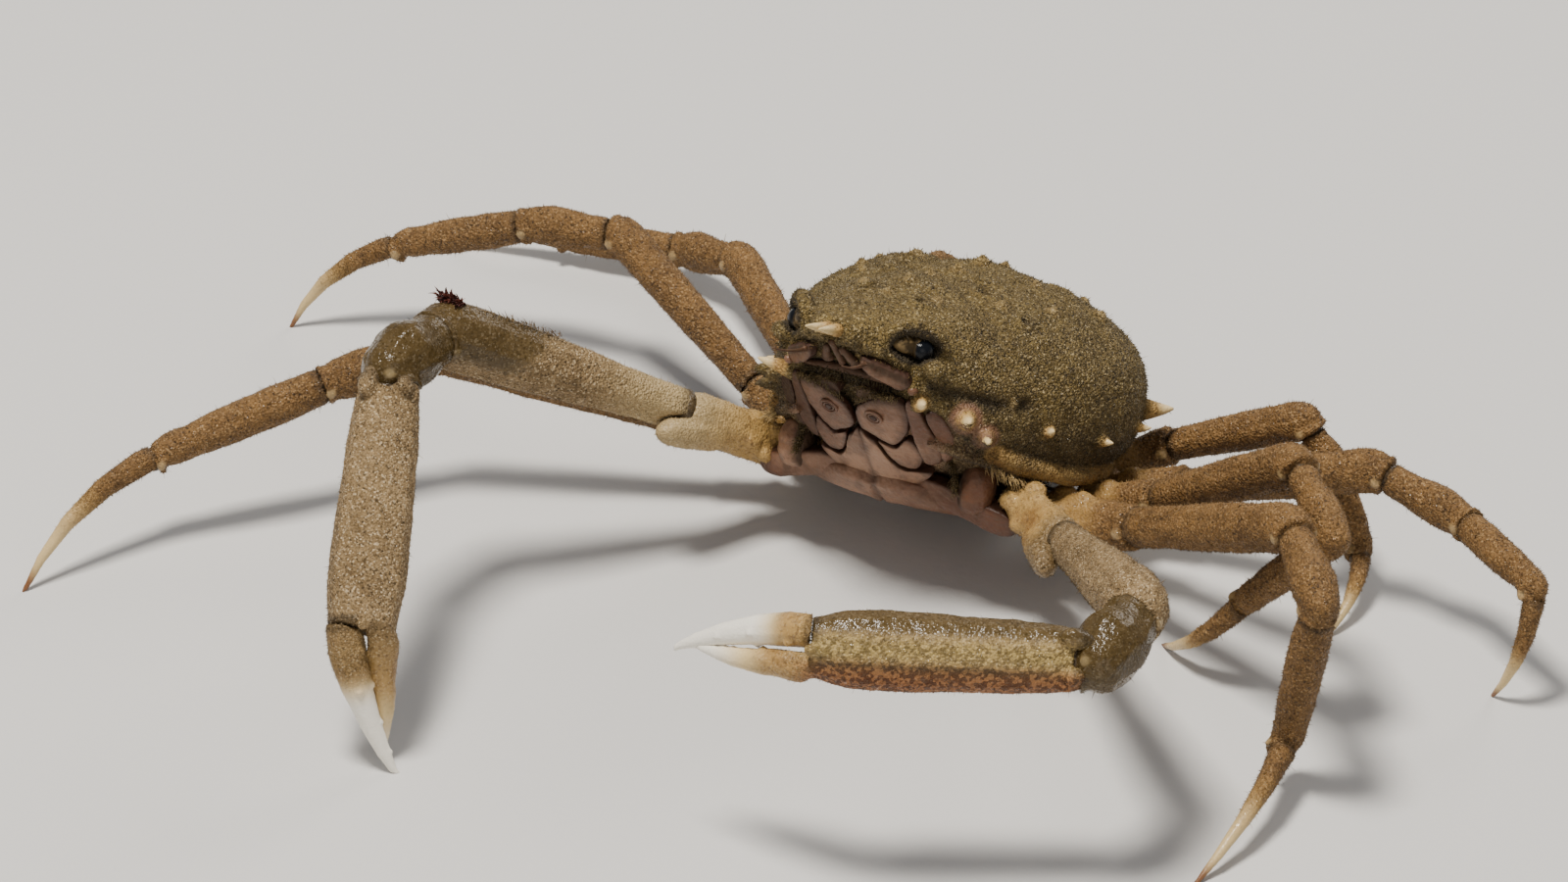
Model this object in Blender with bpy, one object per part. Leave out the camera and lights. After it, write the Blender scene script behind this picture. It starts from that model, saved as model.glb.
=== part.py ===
"""Portly spider crab, a still life-size model that stands on its leg tips and one claw tip.

The crab faces -Y and its left side is at +X. Lengths below are in millimetres and angles in degrees.
The floor is z = 0, and the origin is on it, under the middle of the whole model.
"""

from math import asin, ceil, cos, degrees, pi, radians, sin, sqrt

import bmesh
import bpy
from mathutils import Matrix, Vector

MM = 0.001
GAP = 0.3                       # left between pieces that touch
SOCKET_SINK = 1.2               # how far a spine's root goes into its plate

# Stance of the body: the shell rears up at the front and leans a little to its right.
BODY_HEIGHT = 20.0
NOSE_UP = 24.0
LEAN = -5.0

# Sections of the carapace in the body's own frame: place along the body (front is negative),
# half width, height of the side margin, height of the crown and height of the lower edge.
CARAPACE_SECTIONS = (
    (-28.2, 2.8, 7.6, 8.9, 6.3),
    (-26.0, 4.2, 7.0, 9.6, 5.0),
    (-23.6, 6.6, 5.4, 10.3, 3.2),
    (-21.5, 9.2, 3.0, 10.7, 1.0),
    (-19.8, 10.9, 1.2, 11.0, -1.2),
    (-18.0, 12.4, 0.4, 11.2, -3.2),
    (-14.5, 14.8, -0.4, 11.7, -6.6),
    (-11.5, 16.4, -0.2, 12.1, -8.6),
    (-8.0, 18.0, 0.0, 12.5, -9.5),
    (-2.0, 20.6, 0.3, 13.0, -9.5),
    (5.0, 21.9, 0.8, 13.2, -9.5),
    (10.0, 20.9, 1.2, 12.3, -9.3),
    (14.0, 18.4, 1.5, 10.6, -8.6),
    (17.5, 13.6, 1.5, 8.8, -6.8),
    (19.8, 8.4, 1.2, 5.8, -4.0),
    (20.8, 4.2, 1.0, 3.4, -1.4),
)
CARAPACE_RINGS = 34
CARAPACE_SIDES = 36
CROWN_POWER = 2.25              # roundness of the upper half of a section
FLANK_POWER = 2.9               # roundness of its lower half

# Swollen regions of the shell: place (x, y), spread and height.
SWELLINGS = (
    (0.0, -11.0, 6.0, 0.8),     # stomach
    (0.0, 6.0, 5.0, 0.7),       # heart
    (11.0, 4.0, 6.5, 0.5),      # gills
    (8.5, -16.0, 3.5, 0.4),     # liver
)
# Worn spines along the middle of the back: place along the body, height and root radius.
MIDDLE_SPINES = ((-17.0, 0.6, 0.7), (-12.5, 0.8, 0.9), (-7.5, 0.8, 0.9), (-1.5, 0.9, 1.0),
                 (4.0, 1.0, 1.1), (9.5, 1.0, 1.0), (14.5, 1.0, 0.9), (18.2, 1.2, 0.9))
# Spines off the middle, the same on both sides: x, y, height and root radius.
BACK_SPINES = ((5.0, -14.0, 0.6, 0.7), (9.5, -7.0, 0.8, 0.8), (13.0, -1.0, 0.9, 0.9),
               (8.0, 3.0, 0.7, 0.8), (15.0, 6.5, 1.0, 0.9), (10.0, 11.5, 0.9, 0.9))
# Spines of the side margin: place along the body, angle round the section, length and root radius.
MARGIN_SPINES = ((-20.9, 88, 3.2, 1.15), (-17.2, 96, 2.9, 1.35), (-14.6, 104, 2.6, 1.3),
                 (-12.0, 84, 0.9, 0.8), (-7.2, 94, 1.3, 1.0), (0.7, 100, 1.5, 0.95), (8.4, 97, 1.4, 0.9),
                 (12.6, 93, 3.2, 1.35))
# Rounded ridge along the lower edge of the flank: first and last place, angle and radius.
FLANK_RIDGE = (-11.0, 11.0, 131, 1.15)
RIDGE_STEPS = 12
ROSTRUM_ROOT = (1.55, -27.0, 7.6)
ROSTRUM_SPINE = (5.2, 1.25)     # length and root radius of its two points
ORBIT_SPINE = (2.6, 1.1)        # the point over each eye

EYE_PLACE = (7.3, -20.9, 6.9)
EYE_RADIUS = 1.45
EYE_LENGTH = 2.1
ANTENNA_ROOT = (4.6, -23.6, 3.4)
ANTENNA_LENGTH = 8.5
ANTENNA_RADIUS = 0.75

# Plates that close the mouth: (y, z) down the face, half width and half thickness.
MAXILLIPED_PATH = ((-21.4, 0.2, 2.0, 0.7), (-20.6, -2.0, 2.8, 1.0), (-18.6, -4.9, 2.8, 1.0),
                   (-15.9, -7.8, 2.5, 1.0), (-13.4, -10.0, 2.0, 0.9))
MAXILLIPED_MIDDLE = 3.0

# Breastplate: place along the body, half width and lowest height.
STERNUM_SECTIONS = ((-13.4, 4.6, -11.6), (-11.6, 8.0, -13.2), (-9.0, 11.6, -13.9), (-5.0, 13.8, -14.0),
                    (0.0, 14.6, -14.2), (6.0, 14.2, -13.5), (11.0, 12.4, -12.0), (14.5, 8.5, -10.4))
STERNUM_TOP = -9.85
# Tail folded flat under the breastplate: place along the body, half width and lowest height.
ABDOMEN_SECTIONS = ((-3.0, 1.9, -14.8), (-0.5, 2.7, -15.2), (3.0, 3.4, -15.4), (7.5, 4.4, -14.8),
                    (12.0, 6.0, -13.0), (15.5, 7.2, -11.2), (18.0, 6.6, -8.6))
ABDOMEN_THICK = 1.3

# Where each pair of limbs leaves the body, in the body's frame, for the left side.
LIMB_SITES = {
    "claw": (18.0, -8.5, -11.0),
    "leg1": (19.0, -1.0, -12.0),
    "leg2": (19.5, 5.0, -11.5),
    "leg3": (18.5, 11.0, -10.5),
    "leg4": (15.0, 15.0, -9.0),
}
SEGMENTS = ("base", "merus", "carpus", "propodus", "dactyl")
CLAW_SEGMENTS = ("base", "merus", "carpus", "palm", "finger")
LENGTHS = {
    "claw": (10.8, 34.0, 10.0, 31.5, 18.0),
    "leg1": (8.7, 33.0, 13.0, 21.8, 23.3),
    "leg2": (8.0, 27.2, 12.1, 17.2, 18.8),
    "leg3": (7.9, 25.2, 11.8, 14.9, 16.0),
    "leg4": (7.2, 20.0, 7.0, 9.6, 13.6),
}
# Half thickness of each segment where it is thickest, from the side and from above.
THICKNESS = {
    "claw": ((2.9, 2.7), (4.3, 3.7), (4.3, 4.0), (4.5, 3.3), (2.0, 1.8)),
    "leg1": ((3.1, 2.6), (3.0, 2.7), (2.9, 2.6), (2.5, 2.3), (1.6, 1.4)),
    "leg2": ((2.9, 2.5), (2.7, 2.4), (2.6, 2.3), (2.3, 2.1), (1.45, 1.3)),
    "leg3": ((2.9, 2.4), (2.8, 2.4), (2.5, 2.2), (2.2, 2.0), (1.4, 1.25)),
    "leg4": ((2.6, 2.2), (2.5, 2.2), (2.2, 2.0), (2.1, 1.9), (1.25, 1.1)),
}
# Stance of every limb: heading (0 is the crab's left, -90 its front) and rise of each segment.
# A last rise of None lets the tip down to the floor.
STANCE = {
    "claw_L": ((-35, 15), (-42, 20), (-82, -5), (-146, 3), (-174, -18)),
    "claw_R": ((-119, 36), (-129, 29), (-89, 4), (-62, -36), (-12, None)),
    "leg1_L": ((-3, 14), (-19, 28), (-44, -7), (160, -77), (-85, None)),
    "leg1_R": ((-149, 15), (-149, 16), (-130, -8), (-127, -15), (-110, None)),
    "leg2_L": ((2, 28), (-11, 35), (-37, -12), (176, -49), (167, None)),
    "leg2_R": ((169, 13), (167, 24), (-170, -7), (-161, -18), (-146, None)),
    "leg3_L": ((17, 20), (13, 19), (1, -13), (-25, -2), (-148, None)),
    "leg3_R": ((149, 0), (146, 9), (162, -19), (-163, -4), (-159, None)),
    "leg4_L": ((44, 26), (7, 27), (-1, -52), (-9, -62), (-79, None)),
    "leg4_R": ((130, 25), (105, 6), (60, -40), (10, -12), (-40, None)),
}
# Outline of a segment: place along it and share of its half thickness.
SHAPES = {
    "base": ((0.0, 0.92), (0.25, 1.0), (0.6, 0.98), (0.85, 0.96), (1.0, 0.95)),
    "merus": ((0.0, 0.66), (0.08, 0.8), (0.3, 0.88), (0.6, 0.95), (0.86, 1.0), (1.0, 0.92)),
    "carpus": ((0.0, 0.62), (0.2, 0.82), (0.5, 0.95), (0.8, 1.0), (1.0, 0.88)),
    "propodus": ((0.0, 0.7), (0.1, 0.9), (0.35, 1.0), (0.7, 0.94), (0.9, 0.86), (1.0, 0.74)),
    "dactyl": ((0.0, 1.0), (0.12, 1.02), (0.35, 0.82), (0.6, 0.6), (0.82, 0.4), (1.0, 0.2)),
    "arm": ((0.0, 0.6), (0.1, 0.62), (0.3, 0.72), (0.6, 0.87), (0.86, 1.0), (1.0, 0.9)),
    "palm": ((0.0, 0.62), (0.08, 0.78), (0.3, 0.96), (0.6, 1.0), (0.85, 0.95), (1.0, 0.86)),
    "finger": ((0.0, 0.95), (0.15, 1.0), (0.4, 0.86), (0.65, 0.64), (0.85, 0.42), (1.0, 0.2)),
}
LIMB_SIDES = 10
DACTYL_BOW = 0.12               # how far a last segment bows out, as a share of its length
PALM_FACE = (-55, 33)           # heading and rise of the way the broad side of both palms faces
FIXED_FINGER = (15.6, 1.75, 1.6)  # length and half thickness of the palm's own finger
MOVING_ROOT = 1.75              # how far the moving finger's root lies above the palm's middle line
FIXED_ROOT = 2.15               # how far the palm's own finger lies below it
TIP_OPENING = 0.75              # left between the tips of the two fingers
# Knob on the inner side of an arm's near end: reach past the joint, half thickness from the side
# and from above, and how far it lies off the middle line at its root and at its tip.
LOBE = (5.2, 2.1, 1.9, 1.0, 3.9)
TIP_SINK = 0.22                 # a standing tip is cut flat this far above its point

COLOURS = {
    "carapace": (0.155, 0.125, 0.062),
    "underside": (0.52, 0.36, 0.28),
    "leg": (0.27, 0.17, 0.08),
    "claw": (0.24, 0.19, 0.10),
    "eye": (0.012, 0.010, 0.008),
    "horn": (0.62, 0.42, 0.24),
}
ROUGHNESS = {"carapace": 0.75, "underside": 0.45, "leg": 0.7, "claw": 0.45, "eye": 0.12, "horn": 0.4}


def clear_scene():
    for obj in list(bpy.data.objects):
        bpy.data.objects.remove(obj, do_unlink=True)


def material(name):
    found = bpy.data.materials.get(name)
    if found:
        return found
    made = bpy.data.materials.new(name)
    made.use_nodes = True
    shader = made.node_tree.nodes["Principled BSDF"]
    shader.inputs["Base Color"].default_value = (*COLOURS[name], 1.0)
    shader.inputs["Roughness"].default_value = ROUGHNESS[name]
    shader.inputs["Metallic"].default_value = 0.0
    made.diffuse_color = (*COLOURS[name], 1.0)
    return made


def body_matrix():
    lift = Matrix.Translation((0.0, 0.0, BODY_HEIGHT))
    rear_up = Matrix.Rotation(radians(-NOSE_UP), 4, "X")
    lean = Matrix.Rotation(radians(LEAN), 4, "Y")
    return lift @ rear_up @ lean


BODY = body_matrix()


def smooth_value(rows, place, column):
    """Value of a column at a place, on a curve through the rows whose first column is the place."""
    if place <= rows[0][0]:
        return rows[0][column]
    if place >= rows[-1][0]:
        return rows[-1][column]
    last = len(rows) - 1
    k = max(i for i in range(last) if rows[i][0] <= place)

    def slope(i):
        low, high = max(i - 1, 0), min(i + 1, last)
        return (rows[high][column] - rows[low][column]) / (rows[high][0] - rows[low][0])

    step = rows[k + 1][0] - rows[k][0]
    t = (place - rows[k][0]) / step
    a, b = rows[k][column], rows[k + 1][column]
    m, n = slope(k) * step, slope(k + 1) * step
    return ((2 * t**3 - 3 * t**2 + 1) * a + (t**3 - 2 * t**2 + t) * m
            + (3 * t**2 - 2 * t**3) * b + (t**3 - t**2) * n)


def loft(rings):
    """A closed mesh over rings of points, each end closed by a fan to the middle of its ring."""
    mesh = bmesh.new()
    loops = [[mesh.verts.new(point) for point in ring] for ring in rings]
    count = len(rings[0])
    for low, high in zip(loops, loops[1:]):
        for i in range(count):
            j = (i + 1) % count
            mesh.faces.new((low[i], low[j], high[j], high[i]))
    for loop in (loops[0], loops[-1]):
        middle = sum((vert.co for vert in loop), Vector()) / count
        hub = mesh.verts.new(middle)
        for i in range(count):
            mesh.faces.new((loop[i], loop[(i + 1) % count], hub))
    bmesh.ops.recalc_face_normals(mesh, faces=mesh.faces)
    bmesh.ops.triangulate(mesh, faces=mesh.faces)
    return mesh


def to_object(mesh, name, placed=None):
    """Make an object of a bmesh that is in millimetres, first moved by a matrix where one is given."""
    if placed is not None:
        bmesh.ops.transform(mesh, matrix=placed, verts=mesh.verts)
    bmesh.ops.scale(mesh, vec=(MM, MM, MM), verts=mesh.verts)
    data = bpy.data.meshes.new(name)
    mesh.to_mesh(data)
    mesh.free()
    obj = bpy.data.objects.new(name, data)
    bpy.context.scene.collection.objects.link(obj)
    return obj


def keep_largest(data):
    """Leave only the largest closed surface of a mesh."""
    mesh = bmesh.new()
    mesh.from_mesh(data)
    left, parts = set(mesh.verts), []
    while left:
        seed = left.pop()
        part, edge = {seed}, [seed]
        while edge:
            vert = edge.pop()
            for link in vert.link_edges:
                other = link.other_vert(vert)
                if other in left:
                    left.remove(other)
                    part.add(other)
                    edge.append(other)
        parts.append(part)
    parts.sort(key=len)
    for part in parts[:-1]:
        bmesh.ops.delete(mesh, geom=list(part), context="VERTS")
    mesh.to_mesh(data)
    mesh.free()


def apply_boolean(obj, operation, others, solver="EXACT"):
    """Join a collection of closed objects to obj, or cut them from it, and remove them."""
    tools = bpy.data.collections.new("tools")
    bpy.context.scene.collection.children.link(tools)
    for other in others:
        tools.objects.link(other)
    change = obj.modifiers.new("shape", "BOOLEAN")
    change.operation = operation
    change.solver = solver
    change.operand_type = "COLLECTION"
    change.collection = tools
    graph = bpy.context.evaluated_depsgraph_get()
    done = bpy.data.meshes.new_from_object(obj.evaluated_get(graph))
    obj.modifiers.clear()
    old = obj.data
    obj.data = done
    bpy.data.meshes.remove(old)
    for other in list(others):
        bpy.data.objects.remove(other, do_unlink=True)
    bpy.data.collections.remove(tools)
    keep_largest(obj.data)


def section_point(place, angle, grow=0.0):
    """A point of the carapace: angle 0 is the crown, 90 the left margin and 180 the underside."""
    width = smooth_value(CARAPACE_SECTIONS, place, 1) + grow
    margin = smooth_value(CARAPACE_SECTIONS, place, 2)
    crown = smooth_value(CARAPACE_SECTIONS, place, 3) + grow
    under = smooth_value(CARAPACE_SECTIONS, place, 4) - grow
    s, c = sin(angle), cos(angle)
    power = CROWN_POWER if c >= 0 else FLANK_POWER
    x = width * abs(s) ** (2 / power) * (1 if s >= 0 else -1)
    reach = (crown - margin) if c >= 0 else (margin - under)
    z = margin + reach * abs(c) ** (2 / power) * (1 if c >= 0 else -1)
    if c > 0:
        for spot_x, spot_y, spread, height in SWELLINGS:
            away = sqrt((abs(x) - spot_x) ** 2 + (place - spot_y) ** 2)
            z += height * max(0.0, 1 - (away / spread) ** 2) ** 2 * c
    return Vector((x, place, z))


def carapace_rings(grow=0.0):
    first, last = CARAPACE_SECTIONS[0][0] - grow, CARAPACE_SECTIONS[-1][0] + grow
    rings = []
    for k in range(CARAPACE_RINGS):
        t = k / (CARAPACE_RINGS - 1)
        place = first + (last - first) * (t - 0.06 * sin(2 * pi * t))
        ring = [section_point(place, 2 * pi * i / CARAPACE_SIDES, grow) for i in range(CARAPACE_SIDES)]
        rings.append(ring)
    return rings


def surface_frame(place, angle):
    """A point of the carapace and the way its surface faces there."""
    step = 0.01
    along = section_point(place + step, angle) - section_point(place - step, angle)
    round_it = section_point(place, angle + step) - section_point(place, angle - step)
    outward = round_it.cross(along).normalized()
    point = section_point(place, angle)
    centre = Vector((0.0, place, smooth_value(CARAPACE_SECTIONS, place, 2)))
    if outward.dot(point - centre) < 0:
        outward.negate()
    return point, outward


def angle_at(x, place):
    """The section angle on the crown where the carapace has this half breadth."""
    width = smooth_value(CARAPACE_SECTIONS, place, 1)
    return asin(min(1.0, abs(x) / width) ** (CROWN_POWER / 2))


def spine(root, way, length, radius, sides=5):
    """A closed tapering cone whose root is sunk into the surface."""
    way = way.normalized()
    side = way.orthogonal().normalized()
    other = way.cross(side)
    rings = []
    for reach, share in ((-SOCKET_SINK, 1.15), (0.35 * length, 0.72), (length, 0.12)):
        ring = []
        for i in range(sides):
            turn = 2 * pi * i / sides
            ring.append(root + way * reach + (side * cos(turn) + other * sin(turn)) * radius * share)
        rings.append(ring)
    return loft(rings)


def flank_ridge(side):
    """A rounded ridge that follows the lower edge of the flank."""
    first, last, angle, radius = FLANK_RIDGE
    rings = []
    for k in range(RIDGE_STEPS + 1):
        t = k / RIDGE_STEPS
        point, outward = surface_frame(first + (last - first) * t, side * radians(angle))
        across = Vector((0.0, 1.0, 0.0)).cross(outward).normalized()
        size = radius * (0.35 + 0.65 * sin(pi * t) ** 0.5) * (1 + 0.12 * sin(5 * pi * t))
        ring = []
        for i in range(6):
            turn = 2 * pi * i / 6
            ring.append(point + (outward * cos(turn) + across * sin(turn)) * size)
        rings.append(ring)
    return loft(rings)


def carapace_spines():
    pieces = []

    def add(point, way, length, radius):
        pieces.append(to_object(spine(point, way, length, radius), "spine", BODY))

    for place, height, radius in MIDDLE_SPINES:
        point, outward = surface_frame(place, 0.0)
        add(point, outward + Vector((0.0, -0.15, 0.0)), height, radius)
    for side in (1, -1):
        for x, place, height, radius in BACK_SPINES:
            point, outward = surface_frame(place, side * angle_at(x, place))
            add(point, outward, height, radius)
        for place, angle, length, radius in MARGIN_SPINES:
            point, outward = surface_frame(place, side * radians(angle))
            forward = Vector((0.0, -0.35 if place < 0 else 0.1, 0.12))
            add(point, outward + forward, length, radius)
        root = Vector((side * ROSTRUM_ROOT[0], ROSTRUM_ROOT[1], ROSTRUM_ROOT[2]))
        add(root, Vector((side * 0.16, -1.0, 0.02)), *ROSTRUM_SPINE)
        brow, outward = surface_frame(-22.8, side * radians(52))
        add(brow, outward + Vector((side * 0.2, -0.6, 0.1)), *ORBIT_SPINE)
        pieces.append(to_object(flank_ridge(side), "ridge", BODY))
    return pieces


def make_carapace(eyes):
    shell = to_object(loft(carapace_rings()), "carapace", BODY)
    apply_boolean(shell, "UNION", carapace_spines())
    apply_boolean(shell, "DIFFERENCE", eyes)
    return shell


def plate_rings(sections, top, half_top=0.8, grow=0.0):
    """Rings of a plate that hangs from a level top, over sections of place, half width and depth."""
    rings = []
    for k, (place, width, low) in enumerate(sections):
        if k == 0:
            place -= grow
        if k == len(sections) - 1:
            place += grow
        ring = []
        for i in range(14):
            turn = 2 * pi * i / 14
            x = (width + grow) * sin(turn)
            flat = abs(cos(turn)) ** 0.6
            if cos(turn) >= 0:
                z = top + grow - (top - low) * 0.45 * (1 - flat) * half_top
            else:
                z = low - grow + (top - low) * 0.45 * (1 - flat)
            ring.append(Vector((x, place, z)))
        rings.append(ring)
    return rings


def refined(sections, count):
    """More sections on a smooth curve through the given ones."""
    first, last = sections[0][0], sections[-1][0]
    rows = []
    for k in range(count):
        place = first + (last - first) * k / (count - 1)
        rows.append(tuple([place] + [smooth_value(sections, place, c) for c in range(1, len(sections[0]))]))
    return rows


def sternum_mesh(grow=0.0):
    return loft(plate_rings(refined(STERNUM_SECTIONS, 12), STERNUM_TOP, 0.8, grow))


def abdomen_mesh():
    rings = []
    for place, width, low in refined(ABDOMEN_SECTIONS, 13):
        ring = []
        for i in range(10):
            turn = 2 * pi * i / 10
            arch = 0.35 * (1 - sin(turn) ** 2)
            ring.append(Vector((width * sin(turn), place,
                                low + ABDOMEN_THICK / 2 + ABDOMEN_THICK / 2 * cos(turn) - arch)))
        rings.append(ring)
    return loft(rings)


def maxilliped_mesh(side):
    rings = []
    path = MAXILLIPED_PATH
    for k, (y, z, width, thick) in enumerate(path):
        low, high = path[max(k - 1, 0)], path[min(k + 1, len(path) - 1)]
        along = Vector((0.0, high[0] - low[0], high[1] - low[1])).normalized()
        out = Vector((0.0, along.z, -along.y))
        ring = []
        for i in range(10):
            turn = 2 * pi * i / 10
            box = max(abs(cos(turn)), abs(sin(turn))) ** 0.5
            x = side * MAXILLIPED_MIDDLE + width * cos(turn) / box
            ring.append(Vector((x, y, z)) + out * thick * sin(turn) / box)
        rings.append(ring)
    return loft(rings)


def eye_mesh(side, grow=0.0):
    """An eye on its short stalk, pointing out and a little forward."""
    centre = Vector((side * EYE_PLACE[0], EYE_PLACE[1], EYE_PLACE[2]))
    way = Vector((side * 0.85, -0.5, 0.12)).normalized()
    up = Vector((0.0, 0.0, 1.0))
    across = way.cross(up).normalized()
    up = across.cross(way)
    rings = []
    for k in range(7):
        t = -0.96 + 1.92 * k / 6
        swell = sqrt(1 - t * t) * (EYE_RADIUS + grow)
        ring = []
        for i in range(12):
            turn = 2 * pi * i / 12
            ring.append(centre + way * t * (EYE_LENGTH + grow)
                        + (across * cos(turn) + up * sin(turn)) * swell)
        rings.append(ring)
    return loft(rings)


def antenna_mesh(side):
    """A flat root article and a short whip that runs forward beside the rostrum."""
    root = Vector((side * ANTENNA_ROOT[0], ANTENNA_ROOT[1], ANTENNA_ROOT[2]))
    rings = []
    for k in range(8):
        t = k / 7
        middle = root + Vector((side * 0.9 * sin(t * pi / 2), -ANTENNA_LENGTH * t, -1.3 * t + 1.5 * t * t))
        radius = ANTENNA_RADIUS * (1 - 0.68 * t)
        ring = []
        for i in range(6):
            turn = 2 * pi * i / 6
            ring.append(middle + Vector((cos(turn) * radius, 0.0, sin(turn) * radius)))
        rings.append(ring)
    return loft(rings)


def limb_joints(kind, side_name):
    """The places of a limb's joints, from its root to its tip."""
    side = 1 if side_name == "L" else -1
    x, y, z = LIMB_SITES[kind]
    point = BODY @ Vector((side * x, y, z))
    joints = [point]
    for length, (heading, rise) in zip(LENGTHS[kind], STANCE[kind + "_" + side_name]):
        if rise is None:
            rise = -degrees(asin((point.z + TIP_SINK) / length))
        way = Vector((cos(radians(rise)) * cos(radians(heading)),
                      cos(radians(rise)) * sin(radians(heading)), sin(radians(rise))))
        point = point + way * length
        joints.append(point)
    return joints


def limb_frames(kind, joints):
    """Axes of each segment: along it, across it and towards its upper side.

    The first two take their upper side from the vertical, and each later one keeps the upper side of
    the one before it, so that the joints all bend one way. A palm turns its broad side to PALM_FACE.
    """
    heading, rise = radians(PALM_FACE[0]), radians(PALM_FACE[1])
    face = Vector((cos(rise) * cos(heading), cos(rise) * sin(heading), sin(rise)))
    frames = []
    for k in range(5):
        along = (joints[k + 1] - joints[k]).normalized()
        upper = Vector((0.0, 0.0, 1.0))
        if k > 1:
            upper = frames[-1][0].rotation_difference(along) @ frames[-1][2]
        if kind == "claw" and k > 2:
            upper = along.cross(face)
        across = upper.cross(along).normalized()
        frames.append((along, across, along.cross(across)))
    return frames


def segment_rings(start, end, frame, shape, high, wide, bow=0.0, grow=0.0, dome=True, back=0.0):
    """Rings along a segment, with a rounded far end round its joint."""
    along, across, upper = frame
    length = (end - start).length
    rings = []

    def add(reach, share, lift=0.0):
        middle = start + along * reach + upper * lift
        ring = []
        for i in range(LIMB_SIDES):
            a = 2 * pi * (i + 0.5) / LIMB_SIDES
            ring.append(middle + across * cos(a) * (wide * share + grow) + upper * sin(a) * (high * share + grow))
        rings.append(ring)

    if back:
        add(-back, shape[0][1])
    for t, share in shape:
        add(t * length, share, bow * length * 4 * t * (1 - t))
    if dome:
        end_share = shape[-1][1]
        cap = end_share * (high + wide) / 2 + grow
        for angle in (35, 62, 82):
            add(length + cap * sin(radians(angle)), end_share * cos(radians(angle)))
    else:
        add(length + grow, shape[-1][1] * 0.5)
    return rings


def finger_roots(joints, frames):
    """Where the two fingers of a claw leave the palm, the moving one first."""
    upper = frames[3][2]
    return joints[4] + upper * MOVING_ROOT, joints[4] - upper * FIXED_ROOT


def finger_rings(root, tip, length, high, wide, inward, grow=0.0):
    """A finger that bows outward a little and closes on its tip."""
    along = (tip - root).normalized()
    out = (inward - along * inward.dot(along)).normalized()
    across = along.cross(out)
    rings = []
    for t, share in ((-0.1, 0.8),) + SHAPES["finger"]:
        middle = root + along * t * length - out * 0.05 * length * 4 * max(t, 0.0) * (1 - max(t, 0.0))
        ring = []
        for i in range(LIMB_SIDES):
            a = 2 * pi * (i + 0.5) / LIMB_SIDES
            ring.append(middle + across * cos(a) * (wide * share + grow) + out * sin(a) * (high * share + grow))
        rings.append(ring)
    return rings


def claw_parts(joints, frames, grow=0.0):
    """Meshes of the palm, its fixed finger and the moving finger."""
    high, wide = THICKNESS["claw"][3]
    palm = loft(segment_rings(joints[3], joints[4], frames[3], SHAPES["palm"], high, wide, 0.0, grow,
                              dome=False))
    moving, fixed = finger_roots(joints, frames)
    tip = joints[5]
    gap = (fixed - moving).normalized()
    length, fixed_high, fixed_wide = FIXED_FINGER
    fixed_tip = fixed + (tip + gap * TIP_OPENING - fixed).normalized() * length
    fixed_finger = loft(finger_rings(fixed, fixed_tip, (fixed_tip - fixed).length, fixed_high, fixed_wide,
                                     -gap, grow))
    finger_high, finger_wide = THICKNESS["claw"][4]
    finger = loft(finger_rings(moving, tip, (tip - moving).length, finger_high, finger_wide, gap, grow))
    return palm, fixed_finger, finger


def lobe_mesh(side, start, end, frame, grow=0.0):
    """The knob that runs from a claw's root along the inner side of its arm's near end."""
    along, across, upper = frame
    length, high, wide, off_root, off_tip = LOBE
    inward = (across * (-0.85 * side) - upper * 0.5).normalized()
    root = start.lerp(end, 0.5) + inward * off_root
    tip = end + along * length + inward * off_tip
    way = (tip - root).normalized()
    flat = way.cross(upper).normalized()
    over = flat.cross(way)
    reach = (tip - root).length
    rings = []
    for t, share in ((0.0, 0.9), (0.3, 1.05), (0.6, 1.0), (0.85, 0.82), (0.96, 0.5), (1.0, 0.15)):
        ring = []
        for i in range(8):
            a = 2 * pi * i / 8
            ring.append(root + way * (t * (reach + grow)) + flat * cos(a) * (wide * share + grow)
                        + over * sin(a) * (high * share + grow))
        rings.append(ring)
    return loft(rings)


def place_at_joint(obj, start, axes):
    """Give a finished piece its origin at its joint, with its own X along the segment."""
    frame = Matrix(axes).transposed().to_4x4()
    frame.translation = start * MM
    obj.data.transform(frame.inverted())
    obj.matrix_world = frame


def cut_at_floor(obj):
    """Cut a standing tip flat at the level of the floor."""
    mesh = bmesh.new()
    mesh.from_mesh(obj.data)
    parts = list(mesh.verts) + list(mesh.edges) + list(mesh.faces)
    cut = bmesh.ops.bisect_plane(mesh, geom=parts, plane_co=(0, 0, 0), plane_no=(0, 0, -1), clear_outer=True)
    rim = [item for item in cut["geom_cut"] if isinstance(item, bmesh.types.BMEdge)]
    bmesh.ops.holes_fill(mesh, edges=rim)
    bmesh.ops.triangulate(mesh, faces=mesh.faces)
    bmesh.ops.recalc_face_normals(mesh, faces=mesh.faces)
    mesh.to_mesh(obj.data)
    mesh.free()


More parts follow.
